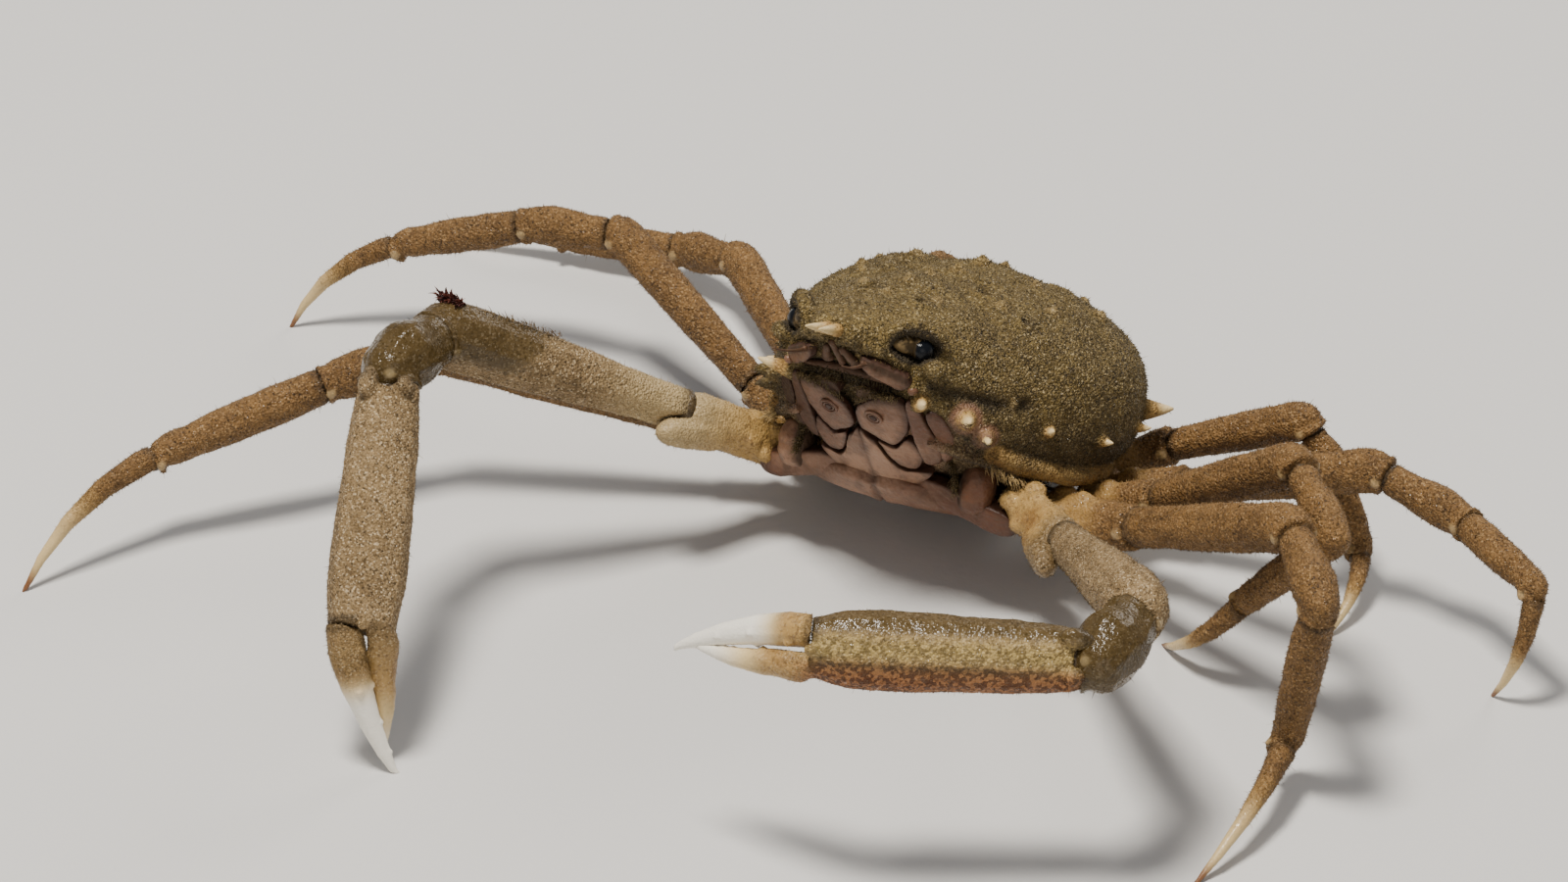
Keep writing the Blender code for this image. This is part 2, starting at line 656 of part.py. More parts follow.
def make_limb(kind, side_name, body_tools, neighbour):
    """Make the segments of a limb and return a grown copy maker for the next limb's base."""
    joints = limb_joints(kind, side_name)
    frames = limb_frames(kind, joints)
    kind_side = kind + "_" + side_name
    side = 1 if side_name == "L" else -1
    names = CLAW_SEGMENTS if kind == "claw" else SEGMENTS
    finish = "claw" if kind == "claw" else "leg"
    grown = {}
    for k, segment in enumerate(names):
        name = kind_side + "_" + segment
        start, end = joints[k], joints[k + 1]
        high, wide = THICKNESS[kind][k]
        standing = k > 2 and STANCE[kind_side][4][1] is None
        shape = SHAPES["arm"] if name in ("claw_L_merus", "claw_R_merus") else SHAPES.get(segment)
        if segment == "palm":
            palm, fixed_finger, spare = claw_parts(joints, frames)
            spare.free()
            obj = to_object(palm, name)
            apply_boolean(obj, "UNION", [to_object(fixed_finger, "fixed_finger")])
        elif segment == "finger":
            palm, fixed_finger, finger = claw_parts(joints, frames)
            palm.free()
            fixed_finger.free()
            obj = to_object(finger, name)
        else:
            bow = DACTYL_BOW if segment == "dactyl" else 0.0
            back = 3.5 if segment == "base" else 0.0
            rings = segment_rings(start, end, frames[k], shape, high, wide, bow,
                                  dome=segment != "dactyl", back=back)
            obj = to_object(loft(rings), name)
            if kind == "claw" and segment == "base":
                apply_boolean(obj, "UNION", [to_object(lobe_mesh(side, start, end, frames[1]), "lobe")])
        tools = []
        if k == 0:
            tools += [maker() for maker in body_tools]
            if neighbour:
                tools += neighbour()
        else:
            tools += grown[k - 1]()
        apply_boolean(obj, "DIFFERENCE", tools)
        if standing:
            cut_at_floor(obj)
        place_at_joint(obj, start, frames[k])
        finish_piece(obj, finish)

        def grow_maker(start=start, end=end, frame=frames[k], segment=segment, high=high, wide=wide,
                       shape=shape):
            if segment == "palm":
                palm, fixed_finger, spare = claw_parts(joints, frames, GAP)
                spare.free()
                return [to_object(palm, "grown"), to_object(fixed_finger, "grown")]
            back = 3.5 if segment == "base" else 0.0
            rings = segment_rings(start, end, frame, shape, high, wide, grow=GAP, back=back)
            grown_pieces = [to_object(loft(rings), "grown")]
            if kind == "claw" and segment == "base":
                grown_pieces.append(to_object(lobe_mesh(side, start, end, frames[1], GAP), "grown"))
            return grown_pieces

        grown[k] = grow_maker
    return grown[0]


def finish_piece(obj, finish):
    obj.data.materials.clear()
    obj.data.materials.append(material(finish))
    obj.data.shade_smooth()
    obj.data.set_sharp_from_angle(angle=radians(38))


def centre_model():
    """Hang every piece on one empty, moved so that the origin lies under the middle of the model."""
    bpy.context.view_layer.update()
    corners = [obj.matrix_world @ vert.co for obj in bpy.data.objects if obj.type == "MESH"
               for vert in obj.data.vertices]
    middle_x = (min(c.x for c in corners) + max(c.x for c in corners)) / 2
    middle_y = (min(c.y for c in corners) + max(c.y for c in corners)) / 2
    lowest = min(c.z for c in corners)
    stand = bpy.data.objects.new("crab", None)
    bpy.context.scene.collection.objects.link(stand)
    for obj in bpy.data.objects:
        if obj.type == "MESH":
            obj.parent = stand
    stand.location = (-middle_x, -middle_y, -lowest)


def make_body():
    eyes = {}
    for side_name, side in (("L", 1), ("R", -1)):
        eyes[side_name] = to_object(eye_mesh(side), "eye_" + side_name, BODY)
        finish_piece(eyes[side_name], "eye")
    sockets = [to_object(eye_mesh(side, GAP), "socket", BODY) for side in (1, -1)]
    shell = make_carapace(sockets)
    finish_piece(shell, "carapace")

    sternum = to_object(sternum_mesh(), "sternum", BODY)
    finish_piece(sternum, "underside")

    def grown_shell():
        return to_object(loft(carapace_rings(GAP)), "grown", BODY)

    def grown_sternum():
        return to_object(sternum_mesh(GAP), "grown", BODY)

    abdomen = to_object(abdomen_mesh(), "abdomen", BODY)
    apply_boolean(abdomen, "DIFFERENCE", [grown_shell(), grown_sternum()])
    finish_piece(abdomen, "underside")
    for side_name, side in (("L", 1), ("R", -1)):
        plate = to_object(maxilliped_mesh(side), "maxilliped_" + side_name, BODY)
        apply_boolean(plate, "DIFFERENCE", [grown_shell(), grown_sternum()])
        finish_piece(plate, "underside")
        antenna = to_object(antenna_mesh(side), "antenna_" + side_name, BODY)
        apply_boolean(antenna, "DIFFERENCE", [grown_shell()])
        finish_piece(antenna, "horn")
    return [grown_shell, grown_sternum]


def main():
    clear_scene()
    body_tools = make_body()
    for side_name in ("L", "R"):
        neighbour = None
        for kind in LIMB_SITES:
            neighbour = make_limb(kind, side_name, body_tools, neighbour)
    centre_model()


main()
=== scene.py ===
"""Looks of a still, life-size portly spider crab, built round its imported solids.

Lengths in the tables are millimetres and angles are degrees, and meshes are in metres. The crab
faces -Y, its left side is at +X, and the floor is z = 0.
"""

from math import asin, cos, degrees, pi, radians, sin, sqrt

import bpy
import numpy as np
from mathutils import Matrix, Vector


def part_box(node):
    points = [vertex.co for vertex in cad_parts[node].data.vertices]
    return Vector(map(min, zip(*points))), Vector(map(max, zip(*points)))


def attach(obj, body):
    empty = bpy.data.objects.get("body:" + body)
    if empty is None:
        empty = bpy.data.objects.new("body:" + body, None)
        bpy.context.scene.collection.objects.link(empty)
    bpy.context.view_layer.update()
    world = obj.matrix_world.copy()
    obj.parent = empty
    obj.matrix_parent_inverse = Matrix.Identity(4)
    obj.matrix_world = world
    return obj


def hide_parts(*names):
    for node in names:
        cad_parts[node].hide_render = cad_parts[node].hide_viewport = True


bl_info = {
    "name": "Spider crab model",
    "version": (1, 0, 0),
    "blender": (4, 5, 0),
    "location": "View3D > Sidebar > Crab",
    "description": "Builds the shells, spines, mouthparts, joints and coat of a spider crab model",
    "category": "Object",
}

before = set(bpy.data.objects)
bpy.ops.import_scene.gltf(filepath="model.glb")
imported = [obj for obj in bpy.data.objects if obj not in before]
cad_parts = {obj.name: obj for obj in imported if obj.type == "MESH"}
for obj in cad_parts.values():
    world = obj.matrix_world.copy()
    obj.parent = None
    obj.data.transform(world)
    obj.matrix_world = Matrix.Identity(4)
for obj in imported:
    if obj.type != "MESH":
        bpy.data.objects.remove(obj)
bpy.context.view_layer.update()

MM = 0.001
SEED = 7
SIDES = (("L", 1), ("R", -1))

# Stance of the body, as in the solids.
BODY_HEIGHT = 20.0
NOSE_UP = 24.0
LEAN = -5.0
EYE_PLACE = (7.3, -20.9, 6.9)

# Sections of the shell: place along the body, half width, margin, crown and lower edge.
SHELL_SECTIONS = (
    (-28.2, 2.8, 7.6, 8.9, 6.3),
    (-26.0, 4.2, 7.0, 9.6, 5.0),
    (-23.6, 6.6, 5.4, 10.3, 3.2),
    (-21.5, 9.2, 3.0, 10.7, 1.0),
    (-19.8, 10.9, 1.2, 11.0, -1.2),
    (-18.0, 12.4, 0.4, 11.2, -3.2),
    (-14.5, 14.8, -0.4, 11.7, -6.6),
    (-11.5, 16.4, -0.2, 12.1, -8.6),
    (-8.0, 18.0, 0.0, 12.5, -9.5),
    (-2.0, 20.6, 0.3, 13.0, -9.5),
    (5.0, 21.9, 0.8, 13.2, -9.5),
    (10.0, 20.9, 1.2, 12.3, -9.3),
    (14.0, 18.4, 1.5, 10.6, -8.6),
    (17.5, 13.6, 1.5, 8.8, -6.8),
    (19.8, 8.4, 1.2, 5.8, -4.0),
    (20.8, 4.2, 1.0, 3.4, -1.4),
)
# Powers of the sections' curves above and below the margin, then swellings: x, place, spread and height.
CROWN_POWER = 2.25
FLANK_POWER = 2.9
SWELLINGS = ((0.0, -11.0, 6.0, 0.8), (0.0, 6.0, 5.0, 0.7), (11.0, 4.0, 6.5, 0.5), (8.5, -16.0, 3.5, 0.4))

# Spines on the middle line: place, length and root radius. Those beside it have x first. Both are as in the solids.
# Those of the margin have place, angle, length and root radius, and most are finer than in the solids.
MIDDLE_SPINES = ((-17.0, 0.6, 0.7), (-12.5, 0.8, 0.9), (-7.5, 0.8, 0.9), (-1.5, 0.9, 1.0),
                 (4.0, 1.0, 1.1), (9.5, 1.0, 1.0), (14.5, 1.0, 0.9), (18.2, 1.2, 0.9))
BACK_SPINES = ((5.0, -14.0, 0.6, 0.7), (9.5, -7.0, 0.8, 0.8), (13.0, -1.0, 0.9, 0.9),
               (8.0, 3.0, 0.7, 0.8), (15.0, 6.5, 1.0, 0.9), (10.0, 11.5, 0.9, 0.9))
MARGIN_SPINES = ((-17.2, 96, 2.5, 1.15), (-14.6, 104, 2.1, 0.95),
                 (-12.0, 84, 0.9, 0.7), (-7.2, 94, 1.2, 0.8), (0.7, 100, 1.3, 0.7), (8.4, 97, 1.3, 0.7),
                 (12.6, 93, 3.2, 1.35))
# Foremost spine of the margin, worn to a knob on the left: root, way, length and root radius.
CHEEK_SPINES = (((8.7, -20.9, 0.5), (0.7, -0.65, 0.0), 1.5, 1.0), ((-9.3, -20.3, 0.5), (-0.95, -0.35, 0.1), 3.5, 1.1))
# Ends of the solids' spines that are taken off the shell, on both sides and on the worn right: middle, half sizes.
SPINE_CUT = ((12.3, -22.4, 2.9), (2.3, 2.3, 2.3))
WORN_CUTS = (((-16.2, -18.6, -1.2), (1.9, 1.9, 1.9)), ((-17.4, -15.5, -4.1), (1.9, 1.9, 1.9)))
# The rostrum's two points: root on the left, length and root radius.
ROSTRUM_ROOT = (0.5, -26.8, 7.6)
ROSTRUM_SPINE = (5.6, 0.95)
# A spine no longer than this is a low grain of the shell and gets no horn point.
LOW_SPINE = 1.15

FLANK_RIDGE = ((14.7, -12.5, -4.6), (16.4, -8.8, -5.8), (18.0, -5.0, -6.7), (18.9, -0.6, -7.1), (19.1, 3.6, -7.2),
               (18.3, 7.6, -7.2), (17.0, 11.4, -6.8))

# Lumps and rims of the face, for the left side: centre, half sizes.
# Then the thick lines joined to the shell: brow, fold of the cheek and ridge along the flank.
FACE_LUMPS = (
    ((3.8, -26.3, 6.1), (1.0, 0.8, 0.7)),
    ((4.9, -25.2, 5.9), (0.9, 0.7, 0.8)),
    ((6.0, -24.2, 5.6), (0.9, 0.8, 0.7)),
    ((7.1, -23.2, 5.0), (0.8, 0.9, 0.7)),
    ((9.9, -21.5, 4.9), (1.7, 1.4, 1.15)),
    ((6.2, -24.1, 8.8), (0.5, 0.6, 0.5)),
    ((8.2, -22.2, 2.3), (0.7, 0.8, 0.7)),
)
BROW = ((5.4, -25.1, 6.3), (5.4, -25.0, 7.5), (5.9, -24.4, 8.8), (7.3, -23.1, 9.4), (8.6, -21.5, 9.1),
        (9.8, -20.0, 8.0), (10.2, -19.5, 6.6))
CHEEK_FOLD = ((8.6, -17.6, -4.4), (11.6, -15.4, -5.2), (14.6, -12.6, -5.6), (16.2, -9.0, -7.0))
SHELL_LINES = (("brow", BROW, (0.6, 0.85, 1.0, 1.15, 1.1, 0.9, 0.5), 4),
               ("fold", CHEEK_FOLD, (0.4, 0.8, 0.8, 0.4), 4),
               ("ridge", FLANK_RIDGE, (1.0, 1.5, 0.85, 1.5, 0.9, 1.35, 0.7), 5))
# Groove under the cheek, then the hollows, cuts and eyes: centre and half sizes.
CHEEK_GROOVE = ((9.9, -22.4, 2.6), (12.2, -18.2, 2.0), (15.1, -13.9, 1.2), (16.7, -10.6, 1.4))
EYE_HOLLOW = ((7.8, -22.6, 7.2), (3.1, 2.1, 2.1))
EYE_STALK = ((7.0, -22.9, 7.1), (1.9, 0.95, 1.05))
EYE_BALL = ((8.35, -21.75, 6.75), (1.35, 1.2, 1.25))
# Collar between stalk and eye, as its rise over the stalk's middle and half sizes, and an eye's ways along its stalk
# and out of the shell.
EYE_COLLAR = (0.45, (0.9, 1.0, 0.85))
EYE_ALONG = (0.62, 0.78, -0.12)
EYE_OUT = (0.76, -0.62, 0.2)
NOSE_CUT = ((0.0, -31.6, 7.8), (3.9, 3.6, 2.6))
BROW_CUT = ((8.0, -24.9, 9.3), (1.9, 1.9, 1.5))
MOUTH_HOLLOW = ((0.0, -23.4, 1.6), (6.6, 2.2, 1.7))
NOSE_HOLLOW = ((1.35, -26.6, 5.1), (0.95, 1.4, 1.1))
# Small pits of the back, with painted shade in them: place and radius.
PITS = ((-2.9, -16.6, 0.9), (-6.7, -5.9, 0.7), (2.8, -4.5, 0.45), (6.6, -6.1, 0.7), (4.1, -16.5, 0.5),
        (12.5, -6.4, 0.45), (3.4, -12.2, 0.4), (-8.5, 1.5, 0.6), (9.0, 7.0, 0.6), (-4.0, 10.0, 0.5))

# The slanted face: its middle, its way down, how fast it falls back towards the sides and how boxy its plates are.
FACE_MIDDLE = (0.0, -20.3, -2.3)
FACE_DOWN = (0.0, 0.69, -0.72)
FACE_BEND = 0.018
PLATE_POWER = 5.5
# Plates over the mouth, for the left side: name, thickness, how far each lies back in the face, how pale it is,
# how hairy and shaded (the palp on both sides, others on the right, whose darkening there is painted shade of
# the hollow by the claw's root), and its outline as pairs of x and way down the face.
MOUTH_PLATES = (
    ("merus", 0.62, 0.1, 0.25, 0.0,
     ((0.9, -1.2), (2.4, -2.5), (4.0, -3.3), (6.2, -3.4), (7.2, -1.7), (6.8, 0.9), (5.9, 3.0), (4.2, 4.7), (2.6, 4.0),
      (0.5, 2.5), (0.35, 0.4))),
    ("ischium", 0.6, 0.1, 0.0, 0.0,
     ((2.1, 4.35), (3.2, 4.75), (4.3, 5.1), (5.95, 3.5), (6.95, 5.0), (7.1, 6.9), (6.0, 8.6), (4.4, 8.5), (3.0, 6.9))),
    ("exopod", 0.6, 0.1, 0.0, 0.45,
     ((7.3, -3.0), (8.5, -2.0), (9.0, 1.2), (9.6, 4.6), (9.2, 7.2), (7.4, 7.9), (6.9, 5.2), (6.9, 2.0))),
    ("palp", 0.8, 0.7, 0.0, 0.8, ((1.6, -4.1), (3.2, -4.6), (3.9, -3.6), (3.2, -2.4), (1.9, -1.8), (1.1, -2.8))),
    ("cheek", 0.55, 0.1, 0.0, 0.85,
     ((9.2, -1.0), (10.6, -0.6), (11.5, 2.0), (11.3, 5.0), (10.0, 7.4), (9.3, 6.8), (9.8, 4.6), (9.2, 1.2))),
    ("shield", 0.7, 0.1, 0.7, 0.0,
     ((-0.1, 3.5), (1.0, 3.9), (1.9, 4.8), (2.8, 7.1), (4.2, 8.8), (6.1, 8.9), (7.6, 9.4), (6.2, 11.0), (5.2, 12.6),
      (3.6, 14.6), (-0.1, 15.2))),
)
# Ringed pit of the uppermost plate: x, way down the face and radius.
MOUTH_PIT = (3.0, -0.25, 1.0)
# Rounded fold of skin between the mouth and each claw's root: centre and half sizes.
SIDE_FOLD = ((12.2, -10.6, -9.4), (2.1, 2.2, 3.1))
# Strip of shell by each claw's root and base plate of each feeler: middle, ways along and out, thickness, outline.
CLAW_STRIP = ((10.6, -10.4, -11.4), (0.95, 0.21, -0.23), (0.2, -0.85, -0.48), 1.0,
              ((-6.8, 0.7), (-3.0, 1.7), (2.0, 1.6), (6.0, 1.4), (7.2, -0.3), (5.5, -1.7), (0.0, -1.6), (-4.0, -1.4),
               (-6.5, -0.7)))
ANTENNA_PLATE = ((5.5, -24.3, 3.7), (0.757, 0.592, -0.28), (0.42, -0.80, -0.55), 0.75,
                 ((-3.3, 0.5), (-2.2, 1.0), (0.3, 1.05), (2.4, 1.0), (3.3, 0.1), (2.9, -1.0), (0.6, -1.2),
                  (-2.2, -0.8)))
ANTENNA_KNOB = ((8.3, -22.3, 2.0), (0.6, 0.7, 0.55))
# Feeler: its root, how far it goes out, forward and down and how much it lifts, its radii, and its two joints.
ANTENNA_ROOT = (3.7, -25.5, 4.5)
ANTENNA_REACH = (0.9, 7.2, 1.3, 1.5)
ANTENNA_RADII = (0.4, 0.3, 0.22, 0.17, 0.13, 0.1, 0.07)
ANTENNA_JOINTS = ((0.0, 0.38), (0.2, 0.27))
# Folded inner feeler, septum between the feelers and ridge over the mouth.
FEELER_LINE = ((1.9, -25.0, 4.0), (1.5, -26.0, 4.6), (1.2, -26.9, 5.4), (0.8, -27.3, 5.6), (0.9, -26.6, 4.9))
FEELER_FOOT = ((1.9, -24.8, 3.9), (0.8, 0.7, 0.6))
SEPTUM_LINE = ((0, -28.0, 6.3), (0, -26.4, 5.0), (0, -24.6, 3.6))
MOUTH_RIDGE = ((-6.2, -22.2, 2.2), (-3.2, -23.6, 2.7), (0, -24.1, 2.9), (3.2, -23.6, 2.7), (6.2, -22.2, 2.2))
# Bristles of the face: count, reach, half width, seed, ways up and of leaning, marks and the line of their roots.
FRINGES = (
    (130, 1.5, 0.05, 31, (0, -0.5, -0.85), (0.3, 0.3, -0.9), {"dark": 0.6, "smooth": 0.3},
     ((0.2, -24.2, 2.6), (3.2, -23.5, 2.4), (6.4, -22.0, 1.9))),
    (110, 1.2, 0.05, 32, (0, -0.75, 0.6), (0, 0.2, 0.95), {"dark": 0.45, "ochre": 0.2, "smooth": 0.3},
     ((0.8, -21.6, -1.2), (3.6, -23.0, 0.2), (6.4, -22.8, 0.3))),
    (90, 2.4, 0.06, 33, (0.4, -0.75, -0.3), (0.5, 0.3, -0.8), {"ochre": 0.7, "pale": 0.3, "smooth": 0.6},
     ((14.4, -13.0, -6.0), (16.0, -10.5, -7.0), (17.6, -7.4, -8.0))),
    (110, 0.9, 0.05, 34, (0.3, -0.8, 0.2), (0, -0.2, -1.0), {"dark": 0.2},
     ((3.2, -26.9, 6.4), (5.4, -25.2, 5.6), (7.6, -23.2, 4.4))),
    (120, 0.8, 0.06, 35, (0.4, -0.7, 0.4), (0, -0.1, -1.0), {"ochre": 0.25},
     ((2.6, -26.6, 5.0), (5.2, -25.0, 4.7), (7.9, -22.7, 3.6))),
    (260, 1.4, 0.06, 37, (0.2, -0.9, -0.1), (0.3, 0, -1), {"dark": 0.45, "ochre": 0.1, "smooth": 0.3},
     ((9.3, -14.0, -5.0), (10.2, -13.2, -7.4), (10.8, -12.8, -10.2))),
    (150, 0.95, 0.07, 38, (0.4, -0.85, 0.1), (0, -0.1, -1), {"dark": 0.3, "ochre": 0.1},
     ((5.5, -25.2, 7.6), (6.1, -24.6, 8.6), (7.4, -23.4, 9.0), (8.7, -22.0, 8.7))),
    (150, 1.3, 0.05, 36, (0, -0.8, 0.2), (0.2, 0.1, -1.0), {"dark": 0.5, "ochre": 0.15, "smooth": 0.3},
     ((0.3, -23.6, 1.4), (3.4, -23.4, 1.0), (6.6, -22.2, 0.6))),
)
# Places along the body of the breastplate's seams and of the tail's.
BREAST_SEAMS = (-8.5, -3.5, 2.5, 8.0)
TAIL_SEAMS = (-0.5, 2.6, 5.6, 8.8, 12.2, 15.4)

# Limbs, as in the solids: each one's root on the left, its segments' lengths, their half heights and half widths, and
# each segment's heading and rise. A tip that has no rise comes down to just below the floor.
LIMB_SITES = {
    "claw": (18.0, -8.5, -11.0),
    "leg1": (19.0, -1.0, -12.0),
    "leg2": (19.5, 5.0, -11.5),
    "leg3": (18.5, 11.0, -10.5),
    "leg4": (15.0, 15.0, -9.0),
}
LENGTHS = {
    "claw": (10.8, 34.0, 10.0, 31.5, 18.0),
    "leg1": (8.7, 33.0, 13.0, 21.8, 23.3),
    "leg2": (8.0, 27.2, 12.1, 17.2, 18.8),
    "leg3": (7.9, 25.2, 11.8, 14.9, 16.0),
    "leg4": (7.2, 20.0, 7.0, 9.6, 13.6),
}
THICKNESS = {
    "claw": ((2.9, 2.7), (4.3, 3.7), (4.3, 4.0), (4.5, 3.3), (2.0, 1.8)),
    "leg1": ((3.1, 2.6), (3.0, 2.7), (2.9, 2.6), (2.5, 2.3), (1.6, 1.4)),
    "leg2": ((2.9, 2.5), (2.7, 2.4), (2.6, 2.3), (2.3, 2.1), (1.45, 1.3)),
    "leg3": ((2.9, 2.4), (2.8, 2.4), (2.5, 2.2), (2.2, 2.0), (1.4, 1.25)),
    "leg4": ((2.6, 2.2), (2.5, 2.2), (2.2, 2.0), (2.1, 1.9), (1.25, 1.1)),
}
STANCE = {
    "claw_L": ((-35, 15), (-42, 20), (-82, -5), (-146, 3), (-174, -18)),
    "claw_R": ((-119, 36), (-129, 29), (-89, 4), (-62, -36), (-12, None)),
    "leg1_L": ((-3, 14), (-19, 28), (-44, -7), (160, -77), (-85, None)),
    "leg1_R": ((-149, 15), (-149, 16), (-130, -8), (-127, -15), (-110, None)),
    "leg2_L": ((2, 28), (-11, 35), (-37, -12), (176, -49), (167, None)),
    "leg2_R": ((169, 13), (167, 24), (-170, -7), (-161, -18), (-146, None)),
    "leg3_L": ((17, 20), (13, 19), (1, -13), (-25, -2), (-148, None)),
    "leg3_R": ((149, 0), (146, 9), (162, -19), (-163, -4), (-159, None)),
    "leg4_L": ((44, 26), (7, 27), (-1, -52), (-9, -62), (-79, None)),
    "leg4_R": ((130, 25), (105, 6), (60, -40), (10, -12), (-40, None)),
}
TIP_SINK = 0.22
# Heading and rise of the way that both palms' flat sides face.
PALM_FACE = (-55, 33)
# Root line of the alga tuft on the right claw's elbow, before the model's shift.
ALGA_LINE = ((-42.4, -40.6, 36.9), (-40.5, -41.2, 37.5), (-38.4, -41.9, 37.9))
# How far the palm's own finger is swung towards the moving one and behind it.
FINGER_SWING = {"L": (1.4, 0.0), "R": (2.5, 2.4)}
# Teeth of a claw's fingers: how many, and the first one's place and their steps as shares of the palm's length.
TEETH = 11
FIRST_TOOTH = 1.1
TOOTH_STEP = 0.036
# Swellings of a limb's root: reach along it, share of its half height and half width, size.
ROOT_LUMPS = ((-0.6, 0.75, 0.5, 1.5), (-0.2, 0.6, -0.7, 1.4), (3.0, 0.8, 0.1, 1.3), (3.4, 0.1, 0.8, 1.2),
              (3.2, 0.0, -0.85, 1.2), (1.0, -0.2, 0.9, 1.3))
# Knobs of a palm at its wrist and at its finger: joint, way along, up and to the front, half sizes.
PALM_HINGES = ((3, 2.6, 2.5, 2.4, (2.3, 1.3, 1.3)), (3, 2.9, -2.0, 2.7, (1.2, 1.1, 1.1)),
               (3, 3.2, -2.9, 1.0, (1.8, 1.0, 0.9)), (4, -0.6, -0.3, 2.4, (1.6, 1.0, 0.9)))
# Rings along a segment where it swells or pinches: height, middle and spread as shares of its length.
SWELLS = {
    "merus": ((0.05, 0.95, 0.06), (-0.05, 0.82, 0.07), (-0.04, 0.3, 0.15)),
    "carpus": ((-0.07, 0.4, 0.12),),
    "propodus": ((0.06, 0.96, 0.05), (-0.06, 0.84, 0.07)),
    "palm": ((0.04, 0.8, 0.15), (-0.05, 0.4, 0.2)),
}
# Felt of the limbs: reach of a tuft and its half width. Then the sparse bristles: share of points, reach, half width.
FELT_REACH = {"claw": 0.32, "leg": 0.36}
LIMB_TUFT_WIDTH = 0.085
SHELL_TUFT_WIDTH = 0.1
LIMB_BRISTLES = (0.012, 1.0, 0.035)
SHELL_BRISTLES = (0.02, 0.9, 0.04)
BRISTLE_RINGS = 4
# A tuft's root below the skin, the share of its width that it loses, and the size of its patch on the UV map.
ROOT_DEPTH = 0.12
TAPER = 0.7
UV_PATCH = 0.0015
# Share of a segment's thickness in its rounded end, and the next one's neck: share and gap.
END_SHARE = 0.92
NECK_SHARE = 0.64
NECK_GAP = 0.3
PARTS_OF_LEG = ("base", "merus", "carpus", "propodus", "dactyl")
PARTS_OF_CLAW = ("base", "merus", "carpus", "palm", "finger")

# View of the photograph: heading and height above the horizon in degrees, distance and shifts in millimetres, then
# the lens and its sensor, and the nearest and farthest that the camera sees, in metres.
VIEW_AZIMUTH = 34.5
VIEW_ELEVATION = 33.0
VIEW_DISTANCE = 1000.0
VIEW_SIDE = -18.82
VIEW_RISE = 9.63
VIEW_LENS = 195.75
VIEW_SENSOR = 36.0
VIEW_CLIP = (0.05, 20.0)

# The studio's floor, in metres, and its lamps: name, size in metres, power in watts and place.
FLOOR_SIZE = 6.0
FLOOR_TONE = (0.62, 0.61, 0.59)
LAMP_TONE = (1.0, 0.95, 0.88)
SKY_TONE = (0.92, 0.94, 1.0, 1.0)
SKY_STRENGTH = 0.3
LAMPS = (("key", 0.2, 15.0, (-0.08, -0.2, 0.96)), ("fill", 0.7, 2.2, (0.75, -0.75, 0.4)),
         ("rim", 0.4, 3.0, (0.1, 0.85, 0.55)))


def body_matrix():
    lift = Matrix.Translation((0.0, 0.0, BODY_HEIGHT))
    return lift @ Matrix.Rotation(radians(-NOSE_UP), 4, "X") @ Matrix.Rotation(radians(LEAN), 4, "Y")


def find_shift():
    """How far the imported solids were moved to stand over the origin, read from an eye's place."""
    low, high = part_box("eye_L")
    return (low + high) / 2 / MM - body_matrix() @ Vector(EYE_PLACE)


SHIFT = find_shift()
BODY = Matrix.Translation(SHIFT) @ body_matrix()


def way_of(heading, rise):
    heading, rise = radians(heading), radians(rise)
    return Vector((cos(rise) * cos(heading), cos(rise) * sin(heading), sin(rise)))


def limb_joints(kind, side_name):
    """Places of a limb's joints from its root to its tip, in millimetres."""
    x, y, z = LIMB_SITES[kind]
    point = body_matrix() @ Vector((x if side_name == "L" else -x, y, z))
    joints = [point]
    for length, (heading, rise) in zip(LENGTHS[kind], STANCE[kind + "_" + side_name]):
        if rise is None:
            rise = -degrees(asin((point.z + TIP_SINK) / length))
        point = point + way_of(heading, rise) * length
        joints.append(point)
    return [joint + SHIFT for joint in joints]


def limb_frames(kind, joints):
    """Axes of each segment: along it, across it and towards its upper side."""
    face = way_of(*PALM_FACE)
    frames = []
    for k in range(5):
        along = (joints[k + 1] - joints[k]).normalized()
        upper = Vector((0.0, 0.0, 1.0))
        if k > 1:
            upper = frames[-1][0].rotation_difference(along) @ frames[-1][2]
        if kind == "claw" and k > 2:
            upper = along.cross(face)
        across = upper.cross(along).normalized()
        frames.append((along, across, along.cross(across)))
    return frames


def smooth_value(rows, place, column):
    """Value of a column at a place, on a curve through the rows whose first column is the place."""
    if place <= rows[0][0]:
        return rows[0][column]
    if place >= rows[-1][0]:
        return rows[-1][column]
    last = len(rows) - 1
    k = max(i for i in range(last) if rows[i][0] <= place)

    def slope(i):
        low, high = max(i - 1, 0), min(i + 1, last)
        return (rows[high][column] - rows[low][column]) / (rows[high][0] - rows[low][0])

    step = rows[k + 1][0] - rows[k][0]
    t = (place - rows[k][0]) / step
    a, b = rows[k][column], rows[k + 1][column]
    m, n = slope(k) * step, slope(k + 1) * step
    return ((2 * t**3 - 3 * t**2 + 1) * a + (t**3 - 2 * t**2 + t) * m
            + (3 * t**2 - 2 * t**3) * b + (t**3 - t**2) * n)


